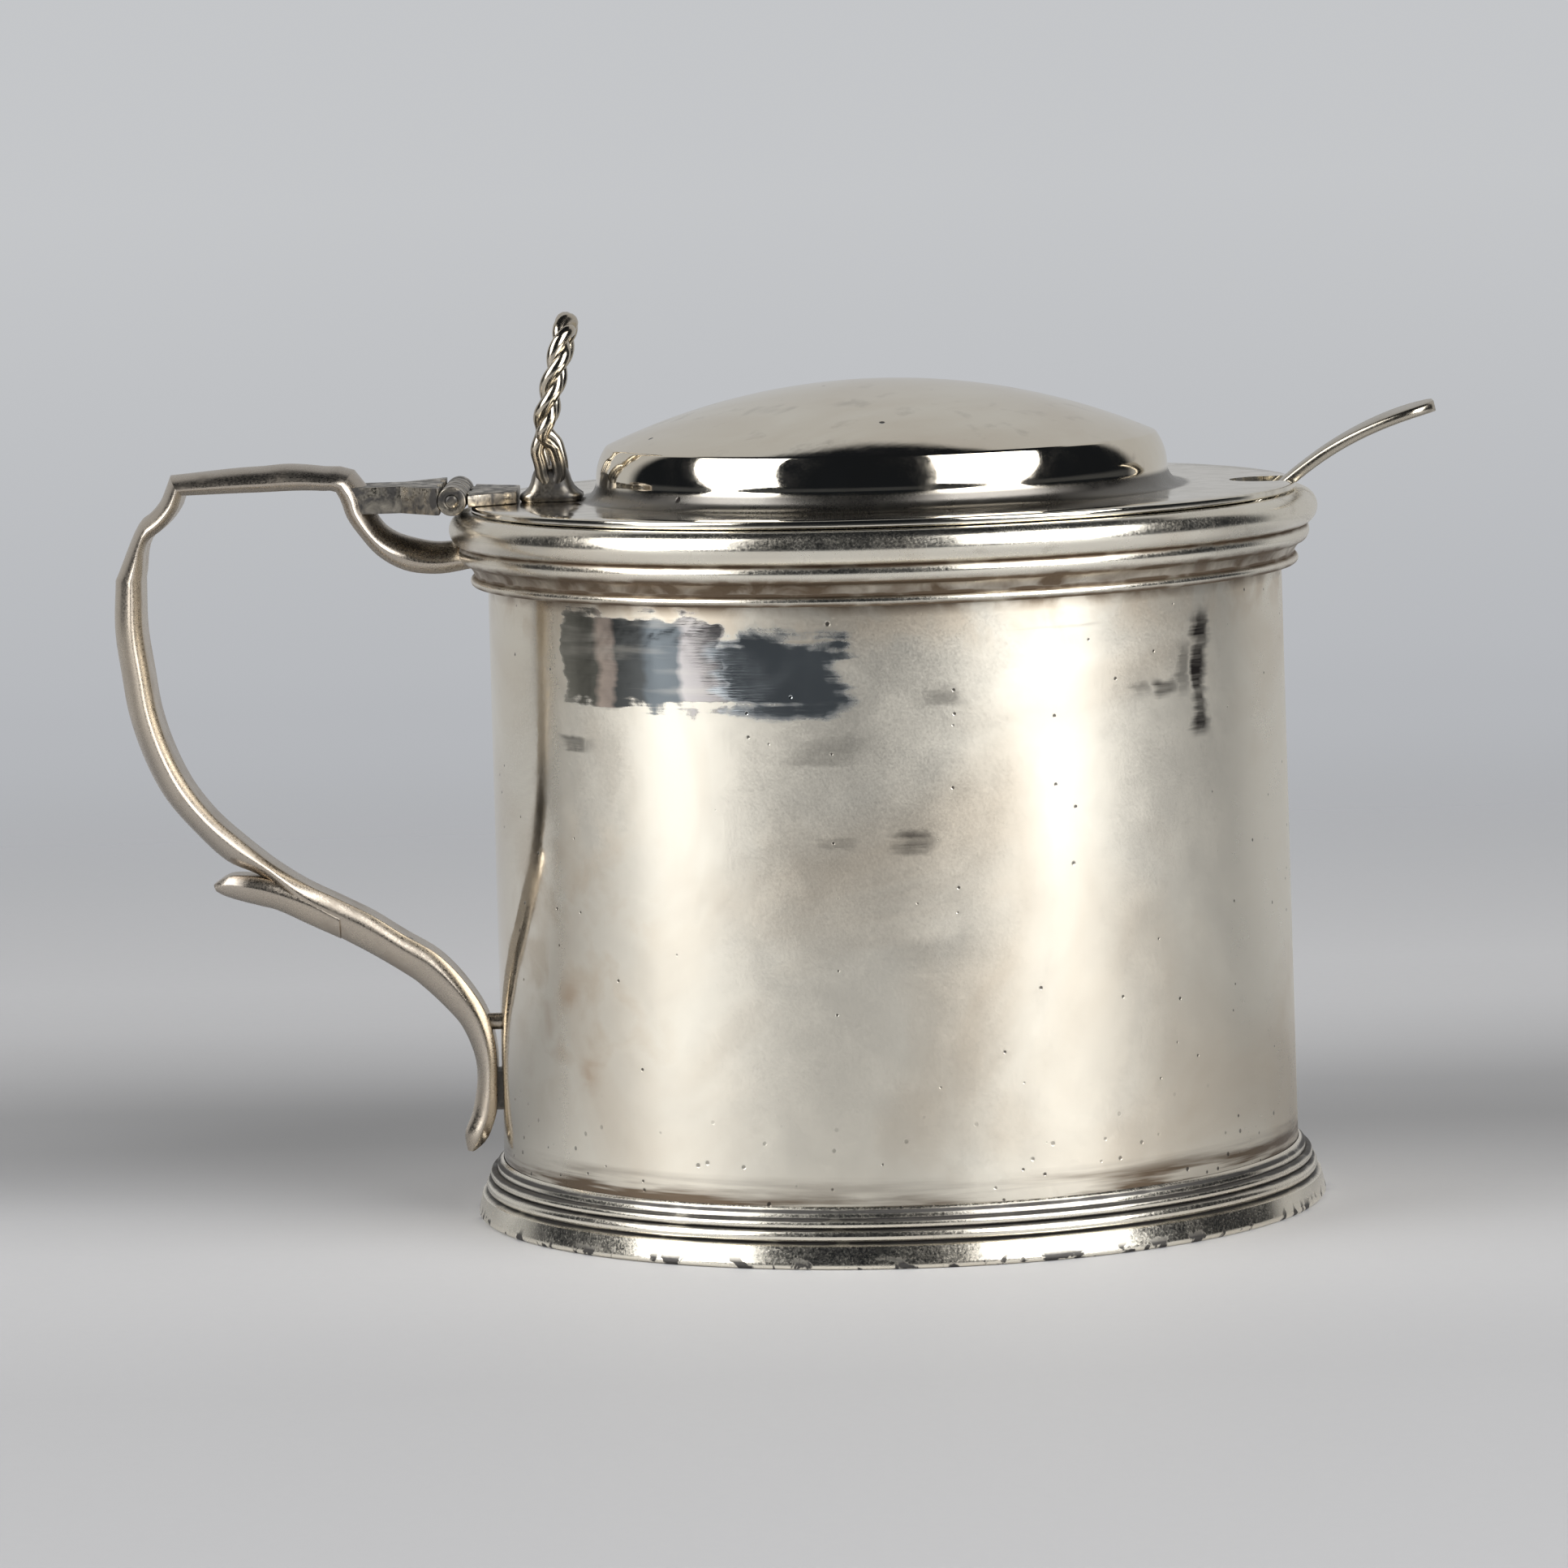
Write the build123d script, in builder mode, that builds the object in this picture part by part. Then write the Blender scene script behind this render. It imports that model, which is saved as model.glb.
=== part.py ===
from build123d import *
from math import asin, atan2, cos, degrees, hypot, radians, sin, sqrt
import os

# Hinged drum mustard pot of sheet silver: a tapering drum between two reeded rings,
# a domed lid with a rope thumbpiece, a strap handle, a glass liner and a spoon.
# Millimetres. +Z is up, the handle lies along -X and the spoon along +X.
# The origin is the drum's axis on the table.

os.makedirs("parts", exist_ok=True)

# Film of solder between pieces that are soldered together
solder_film = 0.03

# Drum: a rolled sheet, a little wider at the bottom
drum_radius_top = 33.0
drum_flare = 0.34
drum_height = 57.3
drum_sheet = 0.9
base_thickness = 0.9

# Rim moulding around the mouth: reaches beyond the drum, and heights
rim_rise = 1.65
rim_reach = 3.13
rim_reed_radius = 1.45
rim_reed_outer_turn = -69.0
rim_reed_inner_turn = 160.0
rim_second_reach = 2.4
rim_second_height = 1.35
rim_hollow_height = 1.15
rim_bead_reach = 1.45
rim_bead_height = 0.8
rim_groove_depth = 0.35

# Foot moulding around the base: reaches beyond the drum, and heights
foot_band_reach = 2.2
foot_band_height = 2.05
foot_band_flare = 0.35
foot_second_reach = 1.5
foot_second_height = 1.0
foot_first_reach = 1.15
foot_first_height = 0.75
foot_step_reach = 0.55
foot_step_height = 0.5
foot_lead_height = 0.45
foot_groove_depth = 0.25
foot_edge_break = 0.2

# Lid: one raised sheet with a flat flange, a flaring wall and a low dome
lid_gap = 0.05
lid_sheet = 0.65
lid_flange_reach = 1.4
lid_edge_break = 0.15
lid_shelf = 12.05
dome_radius = 54.0
shoulder_round = 2.4
wall_straight = 0.1
flare_radius = 2.07
slot_width = 6.0
slot_depth = 5.5

# Hinge: a bracket, a leaf, five short tubes and a pin along Y
pin_reach = 2.5
pin_rise = 1.25
pin_radius = 0.5
pin_overhang = 0.15
knuckle_radius = 1.2
knuckle_bore_clearance = 0.04
hinge_width = 14.0
knuckle_count = 5
knuckle_gap = 0.12
hinge_clearance = 0.15
bracket_thickness = 2.2
bracket_root_share = 0.34824
bracket_neck_width = 6.2
bracket_flare_length = 4.4
bracket_tongue_gap = 1.05
leaf_thickness = 1.0
leaf_length = 5.2
leaf_end_width = 8.0
leaf_tongue_gap = 0.9
flange_clearance = 0.35

# Thumbpiece: a loop of rope standing on a small foot beside the lid's wall
rope_radius = 0.95
thumb_foot_reach = 6.4
thumb_foot_width = 6.4
thumb_foot_thickness = 1.1
thumb_foot_round = 1.2
thumb_leg_reach = 3.9
thumb_leg_spread = 2.0
thumb_loop_rise = 13.45

# Handle: a strap with a flat inner side, bevelled edges and a domed outer side
handle_reach = 31.3
strap_width = 7.0
strap_bevel = 0.55
strap_arris_share = 0.36
notch_turns = (-28.0, -44.0, -60.0)
strut_radius = 0.7
strut_share = 0.271
lug_length = 3.2
lug_share = 0.1747
lug_width = 3.0
stand_off_sink = 0.5
stand_off_root = 0.4

# Glass liner standing inside the drum
liner_clearance = 0.5
liner_wall = 1.8
liner_floor = 2.6
liner_gap = 0.05
liner_lip_drop = 1.55
liner_heel_round = 2.0

# Spoon: its stem leaves through the slot in the lid's flange and rests on the rim
spoon_rest_gap = 0.15
spoon_tip_gap = 0.62
spoon_tip_height = 6.63
stem_thickness = 0.95
stem_corner = 0.3
stem_straight_outside = 1.5
stem_arc_radius = 28.0
stem_arc_sweep = 26.0
bowl_long_radius = 11.6
bowl_short_radius = 7.6
bowl_cut = 2.9
bowl_sheet = 0.8
bowl_joint = 0.86
bowl_lip = 0.1

# Sizes and places that several pieces share
drum_radius_base = drum_radius_top + drum_flare
lid_flange_radius = drum_radius_top + lid_flange_reach
dome_edge_radius = lid_flange_radius - lid_shelf
rim_crest = drum_height + rim_rise
reed_centre = (drum_radius_top + rim_reach - rim_reed_radius, rim_crest - rim_reed_radius)
lid_bottom = rim_crest + lid_gap
lid_top = lid_bottom + lid_sheet
pin_x = -(drum_radius_top + pin_reach)
pin_z = rim_crest + pin_rise
foot_height = (
    foot_band_height + foot_second_height + foot_first_height + foot_step_height + foot_lead_height
)


def drum_radius(height):
    """Outer radius of the drum at a height above the table."""
    share = height / drum_height
    return drum_radius_base + (drum_radius_top - drum_radius_base) * share


def around(centre, radius, turn):
    """The point at an angle in degrees on a circle of the profile plane."""
    return (centre[0] + radius * cos(radians(turn)), centre[1] + radius * sin(radians(turn)))


def save(piece, name):
    """Labels a finished piece and writes it under its node's name."""
    piece.part.label = name
    export_step(piece.part, f"parts/{name}.step")


# Drum wall
with BuildPart() as drum_wall:
    with BuildSketch(Plane.XZ):
        with BuildLine():
            Polyline(
                (drum_radius_base, 0),
                (drum_radius_top, drum_height),
                (drum_radius_top - drum_sheet, drum_height),
                (drum_radius_base - drum_sheet, 0),
                close=True,
            )
        make_face()
    revolve(axis=Axis.Z)
save(drum_wall, "drum_wall")

# Flat base soldered inside the drum, flush with the foot
with BuildPart() as base_plate:
    with BuildSketch():
        Circle(drum_radius(base_thickness) - drum_sheet - solder_film)
    extrude(amount=base_thickness)
save(base_plate, "base_plate")

# Rim moulding: bead, hollow, narrow reed and a bold top reed
reed_root = around(reed_centre, rim_reed_radius, rim_reed_outer_turn)
reed_inner = around(reed_centre, rim_reed_radius, rim_reed_inner_turn)
second_low = reed_root[1] - rim_second_height
bead_high = second_low - rim_hollow_height
bead_low = bead_high - rim_bead_height
second_edge = drum_radius_top + rim_second_reach
bead_edge = drum_radius_top + rim_bead_reach
rim_inner = drum_radius(bead_low) + solder_film
with BuildPart() as rim_moulding:
    with BuildSketch(Plane.XZ):
        with BuildLine():
            Line((rim_inner, bead_low), (bead_edge - rim_groove_depth, bead_low))
            ThreePointArc(
                (bead_edge - rim_groove_depth, bead_low),
                (bead_edge, (bead_low + bead_high) / 2),
                (bead_edge - rim_groove_depth, bead_high),
            )
            ThreePointArc(
                (bead_edge - rim_groove_depth, bead_high),
                (bead_edge, bead_high + 0.65 * rim_hollow_height),
                (second_edge - rim_groove_depth, second_low),
            )
            ThreePointArc(
                (second_edge - rim_groove_depth, second_low),
                (second_edge, (second_low + reed_root[1]) / 2),
                reed_root,
            )
            ThreePointArc(reed_root, around(reed_centre, rim_reed_radius, 40), reed_inner)
            Polyline(reed_inner, (rim_inner, reed_inner[1]), (rim_inner, bead_low))
        make_face()
    revolve(axis=Axis.Z)
save(rim_moulding, "rim_moulding")

# Foot moulding: a flaring band, two reeds and a thin step
band_edge = drum_radius_base + foot_band_reach
foot_second_edge = drum_radius_base + foot_second_reach
foot_first_edge = drum_radius_base + foot_first_reach
foot_step_edge = drum_radius_base + foot_step_reach
foot_inner = drum_radius_base + solder_film
foot_second_low = foot_band_height
foot_first_low = foot_second_low + foot_second_height
foot_step_low = foot_first_low + foot_first_height
foot_step_high = foot_step_low + foot_step_height
with BuildPart() as foot_moulding:
    with BuildSketch(Plane.XZ):
        with BuildLine():
            Polyline(
                (foot_inner, 0),
                (band_edge - foot_edge_break, 0),
                (band_edge, foot_edge_break),
                (band_edge - foot_band_flare, foot_band_height - foot_groove_depth),
                (foot_second_edge - foot_groove_depth, foot_second_low),
            )
            ThreePointArc(
                (foot_second_edge - foot_groove_depth, foot_second_low),
                (foot_second_edge, (foot_second_low + foot_first_low) / 2),
                (foot_first_edge - foot_groove_depth, foot_first_low),
            )
            ThreePointArc(
                (foot_first_edge - foot_groove_depth, foot_first_low),
                (foot_first_edge, (foot_first_low + foot_step_low) / 2),
                (foot_step_edge, foot_step_low),
            )
            Polyline(
                (foot_step_edge, foot_step_low),
                (foot_step_edge, foot_step_high),
                (foot_inner, foot_height),
                (foot_inner, 0),
            )
        make_face()
    revolve(axis=Axis.Z)
save(foot_moulding, "foot_moulding")

# Lid cover: flange, flaring wall, rounded shoulder and spherical dome
edge_turn = degrees(asin(dome_edge_radius / dome_radius))
wall_radius = dome_edge_radius + shoulder_round * (1 - dome_edge_radius / dome_radius)
flare_centre = (wall_radius + flare_radius, lid_top + flare_radius)
shoulder_centre = (wall_radius - shoulder_round, flare_centre[1] + wall_straight)
dome_centre = around(shoulder_centre, dome_radius - shoulder_round, -90 - edge_turn)
dome_apex = dome_centre[1] + dome_radius
flange_cut = pin_x + knuckle_radius + flange_clearance


def lid_curve(depth):
    """The lid's line from its apex down to the flange, at a depth inside the sheet."""
    dome = dome_radius - depth
    shoulder = shoulder_round - depth
    flare = flare_radius + depth
    ThreePointArc(
        around(dome_centre, dome, 90),
        around(dome_centre, dome, 90 - edge_turn / 2),
        around(dome_centre, dome, 90 - edge_turn),
    )
    ThreePointArc(
        around(shoulder_centre, shoulder, 90 - edge_turn),
        around(shoulder_centre, shoulder, 45 - edge_turn / 2),
        around(shoulder_centre, shoulder, 0),
    )
    Line(around(shoulder_centre, shoulder, 0), around(flare_centre, flare, 180))
    ThreePointArc(
        around(flare_centre, flare, 180),
        around(flare_centre, flare, 225),
        around(flare_centre, flare, 270),
    )


with BuildPart() as lid_cover:
    with BuildSketch(Plane.XZ):
        with BuildLine():
            lid_curve(0)
            Polyline(
                (flare_centre[0], lid_top),
                (lid_flange_radius - lid_edge_break, lid_top),
                (lid_flange_radius, lid_top - lid_edge_break),
                (lid_flange_radius, lid_bottom + lid_edge_break),
                (lid_flange_radius - lid_edge_break, lid_bottom),
                (flare_centre[0], lid_bottom),
            )
            lid_curve(lid_sheet)
            Line((0, dome_apex - lid_sheet), (0, dome_apex))
        make_face()
    revolve(axis=Axis.Z)
    # Slot for the spoon's stem, open at the flange's edge
    with BuildSketch(Plane.XY.offset(lid_bottom - lid_sheet)):
        with Locations((lid_flange_radius - slot_depth + slot_width / 2, 0)):
            Circle(slot_width / 2)
            Rectangle(slot_depth, slot_width, align=(Align.MIN, Align.CENTER))
    extrude(amount=3 * lid_sheet, mode=Mode.SUBTRACT)
    # Straight cut that keeps the flange clear of the knuckles
    with BuildSketch(Plane.XY.offset(lid_bottom - lid_sheet)):
        with Locations((flange_cut, 0)):
            Rectangle(
                drum_radius_top,
                hinge_width + 2 * flange_clearance,
                align=(Align.MAX, Align.CENTER),
            )
    extrude(amount=3 * lid_sheet, mode=Mode.SUBTRACT)
save(lid_cover, "lid_cover")

# Knuckles: short tubes in line, the odd ones on the pot and the even ones on the lid
knuckle_pitch = hinge_width / knuckle_count
knuckle_names = [
    "pot_knuckle_near",
    "lid_knuckle_near",
    "pot_knuckle_middle",
    "lid_knuckle_far",
    "pot_knuckle_far",
]
knuckle_centres = [(index + 0.5) * knuckle_pitch - hinge_width / 2 for index in range(knuckle_count)]
hinge_plane = Plane(origin=(pin_x, 0, pin_z), x_dir=(1, 0, 0), z_dir=(0, -1, 0))
for index, name in enumerate(knuckle_names):
    bore = pin_radius if index % 2 == 0 else pin_radius + knuckle_bore_clearance
    with BuildPart() as knuckle:
        with BuildSketch(hinge_plane.offset(-knuckle_centres[index])):
            Circle(knuckle_radius)
            Circle(bore, mode=Mode.SUBTRACT)
        extrude(amount=(knuckle_pitch - knuckle_gap) / 2, both=True)
    save(knuckle, name)

# Hinge pin, its ends broken just outside the barrel
with BuildPart() as hinge_pin:
    with BuildSketch(hinge_plane):
        Circle(pin_radius)
    extrude(amount=hinge_width / 2 + pin_overhang, both=True)
    chamfer(hinge_pin.edges().filter_by(GeomType.CIRCLE), length=pin_overhang)
save(hinge_pin, "hinge_pin")

# Handle: each row is a point of the flat inner side, a point of the outer side and a share
# of the full width. A point is a reach beyond the drum and a height. The reaches are percents
# of the handle's whole reach. Here the heights are rises over the rim, in the same percents.
branch_rows = [
    (3.2, -14.7, 3.2, -7.2, 1.0),
    (13.4, -16.0, 12.8, -8.0, 1.0),
    (22.0, -14.7, 18.8, -6.9, 1.0),
    (28.8, -10.7, 24.0, -5.1, 1.0),
    (33.2, -5.6, 27.5, -2.4, 1.0),
    (36.7, -0.2, 30.2, 2.4, 1.0),
    (38.3, 4.6, 31.6, 7.5, 1.0),
    (39.3, 6.5, 34.8, 11.7, 1.0),
    (42.8, 6.9, 42.5, 12.9, 1.0),
    (60.7, 7.0, 60.7, 13.4, 1.0),
    (80.2, 6.7, 83.7, 11.7, 1.0),
]
# Here the heights are percents of the rim's height over the table
sweep_rows = [
    (91.9, 91.6, 99.4, 91.6, 1.0),
    (91.9, 84.1, 100.0, 84.1, 1.0),
    (90.6, 78.7, 98.7, 78.0, 1.0),
    (89.0, 72.9, 97.0, 72.1, 0.99),
    (85.9, 67.5, 93.3, 65.8, 0.95),
    (81.2, 62.3, 87.9, 60.1, 0.89),
    (75.1, 58.0, 80.5, 55.3, 0.83),
    (67.7, 54.3, 72.5, 51.2, 0.78),
    (59.4, 50.7, 62.0, 48.3, 0.74),
    (51.1, 47.8, 51.4, 42.4, 0.71),
    (42.5, 45.5, 42.8, 39.7, 0.69),
    (33.9, 43.1, 34.5, 37.2, 0.68),
    (25.6, 40.2, 25.9, 34.3, 0.68),
    (16.9, 37.3, 21.7, 32.6, 0.67),
    (8.6, 32.4, 14.4, 28.7, 0.66),
    (4.5, 28.7, 11.2, 26.5, 0.65),
    (2.1, 23.4, 8.1, 22.2, 0.64),
    (2.1, 18.7, 7.7, 18.7, 0.62),
    (2.9, 13.7, 9.3, 14.1, 0.57),
    (6.1, 10.0, 11.5, 10.7, 0.45),
    (8.9, 8.7, 10.9, 8.7, 0.25),
]
# The spur is a pointed leaf that parts from the sweep's underside
spur_rows = [
    (76.2, 47.9, 75.6, 46.8, 0.25),
    (71.9, 49.2, 73.2, 46.1, 0.48),
    (67.7, 49.2, 68.7, 45.3, 0.62),
    (62.6, 48.8, 63.9, 44.6, 0.68),
    (56.9, 47.8, 59.4, 43.9, 0.7),
    (49.8, 46.5, 51.4, 41.8, 0.7),
    (42.5, 44.1, 42.8, 39.6, 0.68),
]


def strap_section(row, base, rise):
    """One section of the strap: flat inner side, bevelled edges and domed outer side."""
    reach = handle_reach / 100
    inner = Vector(-(drum_radius_top + reach * row[0]), 0, base + rise * row[1] / 100)
    outer = Vector(-(drum_radius_top + reach * row[2]), 0, base + rise * row[3] / 100)
    thickness = (outer - inner).length
    half = strap_width * row[4] / 2
    bevel = min(strap_bevel, half / 2)
    arris = thickness * strap_arris_share
    section_plane = Plane(origin=inner, x_dir=(0, 1, 0), z_dir=Vector(0, 1, 0).cross(outer - inner))
    with BuildSketch(section_plane) as section:
        with BuildLine():
            Polyline((-half, arris), (-half + bevel, 0), (half - bevel, 0), (half, arris))
            ThreePointArc((half, arris), (0, thickness), (-half, arris))
        make_face()
    return section.sketch


# The notch in the corner is a hollow quarter round, in the branch rows' percents
notch_centre = (98.7, 12.9)
notch_inner = 19.8
notch_outer = 14.4
notch_rows = [
    (*around(notch_centre, -notch_inner, -turn), *around(notch_centre, -notch_outer, -turn), 1.0)
    for turn in notch_turns
]
strap_sections = [strap_section(row, rim_crest, handle_reach) for row in branch_rows + notch_rows]
strap_sections += [strap_section(row, 0, rim_crest) for row in sweep_rows]
with BuildPart() as handle_strap:
    loft(strap_sections, ruled=True)
with BuildPart() as handle_spur:
    loft([strap_section(row, 0, rim_crest) for row in spur_rows], ruled=True)
with BuildPart() as handle:
    add(handle_strap.part)
    add(handle_spur.part)
    add(rim_moulding.part, mode=Mode.SUBTRACT)
save(handle, "handle")



def strap_reach(height):
    """How far the flat inner side of the sweep lies from the axis, at a height."""
    share = 100 * height / rim_crest
    for above, below in zip(sweep_rows, sweep_rows[1:]):
        if below[1] <= share <= above[1]:
            part = (above[1] - share) / (above[1] - below[1])
            return drum_radius_top + handle_reach * (above[0] + part * (below[0] - above[0])) / 100
    raise ValueError("no part of the sweep at this height")


# Two small pieces that stand the handle's tail off the drum. Their blanks end inside the strap.
strut_height = rim_crest * strut_share
lug_height = rim_crest * lug_share
with BuildPart() as handle_strut:
    strut_start = -drum_radius(strut_height) + stand_off_root
    with BuildSketch(Plane(origin=(strut_start, 0, strut_height), z_dir=(-1, 0, 0))):
        Circle(strut_radius)
    extrude(amount=strut_start + strap_reach(strut_height) + stand_off_sink)
    add(drum_wall.part, mode=Mode.SUBTRACT)
    add(handle.part, mode=Mode.SUBTRACT)
save(handle_strut, "handle_strut")
with BuildPart() as handle_lug:
    lug_start = -drum_radius(lug_height) + stand_off_root
    with BuildSketch(Plane(origin=(lug_start, 0, lug_height), x_dir=(0, 1, 0), z_dir=(-1, 0, 0))):
        Rectangle(lug_width, lug_length)
    extrude(amount=lug_start + strap_reach(lug_height) + stand_off_sink)
    add(drum_wall.part, mode=Mode.SUBTRACT)
    add(handle.part, mode=Mode.SUBTRACT)
save(handle_lug, "handle_lug")

# Hinge bracket: it widens from the handle to the barrel, with a tongue for each pot knuckle
lid_knuckle_centres = knuckle_centres[1::2]
pot_knuckle_centres = knuckle_centres[0::2]
bracket_start = -drum_radius_top - handle_reach * bracket_root_share
bracket_neck_end = pin_x - bracket_flare_length
bracket_end = pin_x - bracket_tongue_gap
barrel_back = pin_x - knuckle_radius - hinge_clearance
with BuildPart() as hinge_bracket:
    with BuildSketch(Plane.XY.offset(pin_z - bracket_thickness / 2)):
        with BuildLine():
            Polyline(
                (bracket_start, -bracket_neck_width / 2),
                (bracket_neck_end, -bracket_neck_width / 2),
                (barrel_back, -hinge_width / 2),
                (bracket_end, -hinge_width / 2),
                (bracket_end, hinge_width / 2),
                (barrel_back, hinge_width / 2),
                (bracket_neck_end, bracket_neck_width / 2),
                (bracket_start, bracket_neck_width / 2),
                close=True,
            )
        make_face()
        for centre in lid_knuckle_centres:
            with Locations((barrel_back, centre)):
                Rectangle(
                    bracket_flare_length,
                    knuckle_pitch,
                    align=(Align.MIN, Align.CENTER),
                    mode=Mode.SUBTRACT,
                )
    extrude(amount=bracket_thickness)
    with BuildSketch(hinge_plane):
        Circle(knuckle_radius + solder_film)
    extrude(amount=hinge_width, both=True, mode=Mode.SUBTRACT)
    add(handle.part, mode=Mode.SUBTRACT)
save(hinge_bracket, "hinge_bracket")

# Lid leaf: it lies on the flange, with a tongue for each lid knuckle
leaf_start = pin_x + leaf_tongue_gap
leaf_end = pin_x + leaf_length
barrel_front = pin_x + knuckle_radius + hinge_clearance
with BuildPart() as lid_leaf:
    with BuildSketch(Plane.XY.offset(lid_top + solder_film)):
        with BuildLine():
            Polyline(
                (leaf_start, -hinge_width / 2),
                (barrel_front, -hinge_width / 2),
                (leaf_end, -leaf_end_width / 2),
                (leaf_end, leaf_end_width / 2),
                (barrel_front, hinge_width / 2),
                (leaf_start, hinge_width / 2),
                close=True,
            )
        make_face()
        for centre in pot_knuckle_centres:
            with Locations((barrel_front, centre)):
                Rectangle(
                    leaf_length,
                    knuckle_pitch,
                    align=(Align.MAX, Align.CENTER),
                    mode=Mode.SUBTRACT,
                )
    extrude(amount=leaf_thickness)
    with BuildSketch(hinge_plane):
        Circle(knuckle_radius + solder_film)
    extrude(amount=hinge_width, both=True, mode=Mode.SUBTRACT)
save(lid_leaf, "lid_leaf")

# Thumbpiece foot: a small block on the flange, fitted to the lid's flaring wall
thumb_foot_end = -(wall_radius + thumb_foot_thickness)
thumb_foot_start = -(wall_radius + thumb_foot_reach)
with BuildPart() as thumb_foot:
    with BuildSketch(Plane.XY.offset(lid_top + solder_film)):
        with Locations(((thumb_foot_start + thumb_foot_end) / 2, 0)):
            RectangleRounded(thumb_foot_end - thumb_foot_start, thumb_foot_width, thumb_foot_round)
    extrude(amount=thumb_foot_thickness)
    add(lid_cover.part, mode=Mode.SUBTRACT)
save(thumb_foot, "thumb_foot")

# Thumbpiece loop: a rope bent into a tall loop that leans towards the dome
# Each row is a step towards the dome, half the loop's width and a share of its rise
loop_rows = [
    (0.0, 2.0, -0.05),
    (-0.6, 3.4, 0.31),
    (0.1, 4.25, 0.62),
    (1.1, 3.9, 0.87),
    (1.75, 1.6, 1.0),
]
thumb_top = lid_top + solder_film + thumb_foot_thickness
thumb_leg_x = -(wall_radius + thumb_leg_reach)
loop_side = [
    (thumb_leg_x + step, thumb_leg_spread / 2.0 * half, thumb_top + thumb_loop_rise * share)
    for step, half, share in loop_rows
]
loop_path = loop_side + [(x, -y, z) for x, y, z in reversed(loop_side)]
loop_bends = [6.0, 6.0, 4.0, 1.95, 1.95, 4.0, 6.0, 6.0]
with BuildPart() as thumb_loop:
    with BuildLine() as loop_line:
        FilletPolyline(*loop_path, radius=loop_bends)
    with BuildSketch(Plane(origin=loop_line.line @ 0, z_dir=loop_line.line % 0)):
        Circle(rope_radius)
    sweep()
    add(thumb_foot.part, mode=Mode.SUBTRACT)
save(thumb_loop, "thumb_loop")

# Glass liner: a plain tumbler with a rounded lip and heel
liner_radius = drum_radius_top - drum_sheet - liner_clearance
liner_base = base_thickness + liner_gap
liner_top = drum_height - liner_lip_drop
lip_round = liner_wall / 2
heel_centre = (liner_radius - liner_heel_round, liner_base + liner_heel_round)
with BuildPart() as glass_liner:
    with BuildSketch(Plane.XZ):
        with BuildLine():
            Line((0, liner_base), (liner_radius - liner_heel_round, liner_base))
            ThreePointArc(
                (liner_radius - liner_heel_round, liner_base),
                around(heel_centre, liner_heel_round, -45),
                (liner_radius, liner_base + liner_heel_round),
            )
            Line((liner_radius, liner_base + liner_heel_round), (liner_radius, liner_top - lip_round))
            ThreePointArc(
                (liner_radius, liner_top - lip_round),
                (liner_radius - lip_round, liner_top),
                (liner_radius - liner_wall, liner_top - lip_round),
            )
            Polyline(
                (liner_radius - liner_wall, liner_top - lip_round),
                (liner_radius - liner_wall, liner_base + liner_floor),
                (0, liner_base + liner_floor),
                (0, liner_base),
            )
        make_face()
    revolve(axis=Axis.Z)
save(glass_liner, "glass_liner")

# Spoon: it leans from the liner's far corner on to the rim's top reed. The stem rises along
# that straight slope and then bends towards the level.
stem_lift = rim_reed_radius + spoon_rest_gap + stem_thickness / 2
tip_to_reed = (
    reed_centre[0] + liner_radius - liner_wall - spoon_tip_gap,
    reed_centre[1] - liner_base - liner_floor - spoon_tip_height,
)
tip_distance = hypot(*tip_to_reed)
spoon_slope = degrees(atan2(tip_to_reed[1], tip_to_reed[0]) + asin(stem_lift / tip_distance))
spoon_length_inside = sqrt(tip_distance**2 - stem_lift**2)
rest_point = around(reed_centre, stem_lift, 90 + spoon_slope)
print("spoon slope", spoon_slope, "length inside", spoon_length_inside)
bowl_half_length = bowl_long_radius * sqrt(1 - (bowl_cut / bowl_short_radius) ** 2)
# Each row is a place along the straight stem from its rest on the rim, and the width there
stem_rows = [
    (2 * bowl_half_length - spoon_length_inside - bowl_joint, 2.4),
    (-50.0, 2.0),
    (-20.0, 2.5),
    (0.0, 3.0),
    (stem_straight_outside, 3.1),
]
# Each row is a share of the bend, and the width there
terminal_rows = [
    (0.25, 3.7),
    (0.45, 4.9),
    (0.62, 6.0),
    (0.78, 6.6),
    (0.9, 6.1),
    (0.97, 4.8),
    (1.0, 3.2),
]
slope_plane = Plane(
    origin=(rest_point[0], 0, rest_point[1]),
    x_dir=(cos(radians(spoon_slope)), 0, sin(radians(spoon_slope))),
    z_dir=(-sin(radians(spoon_slope)), 0, cos(radians(spoon_slope))),
)
bend_start = around(rest_point, stem_straight_outside, spoon_slope)
bend_centre = around(bend_start, stem_arc_radius, spoon_slope - 90)


def stem_section(place, slope, width):
    """One section of the stem, square to its slope."""
    stem_plane = Plane(
        origin=(place[0], 0, place[1]),
        x_dir=(0, 1, 0),
        z_dir=(cos(radians(slope)), 0, sin(radians(slope))),
    )
    with BuildSketch(stem_plane) as section:
        RectangleRounded(width, stem_thickness, stem_corner)
    return section.sketch


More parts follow.
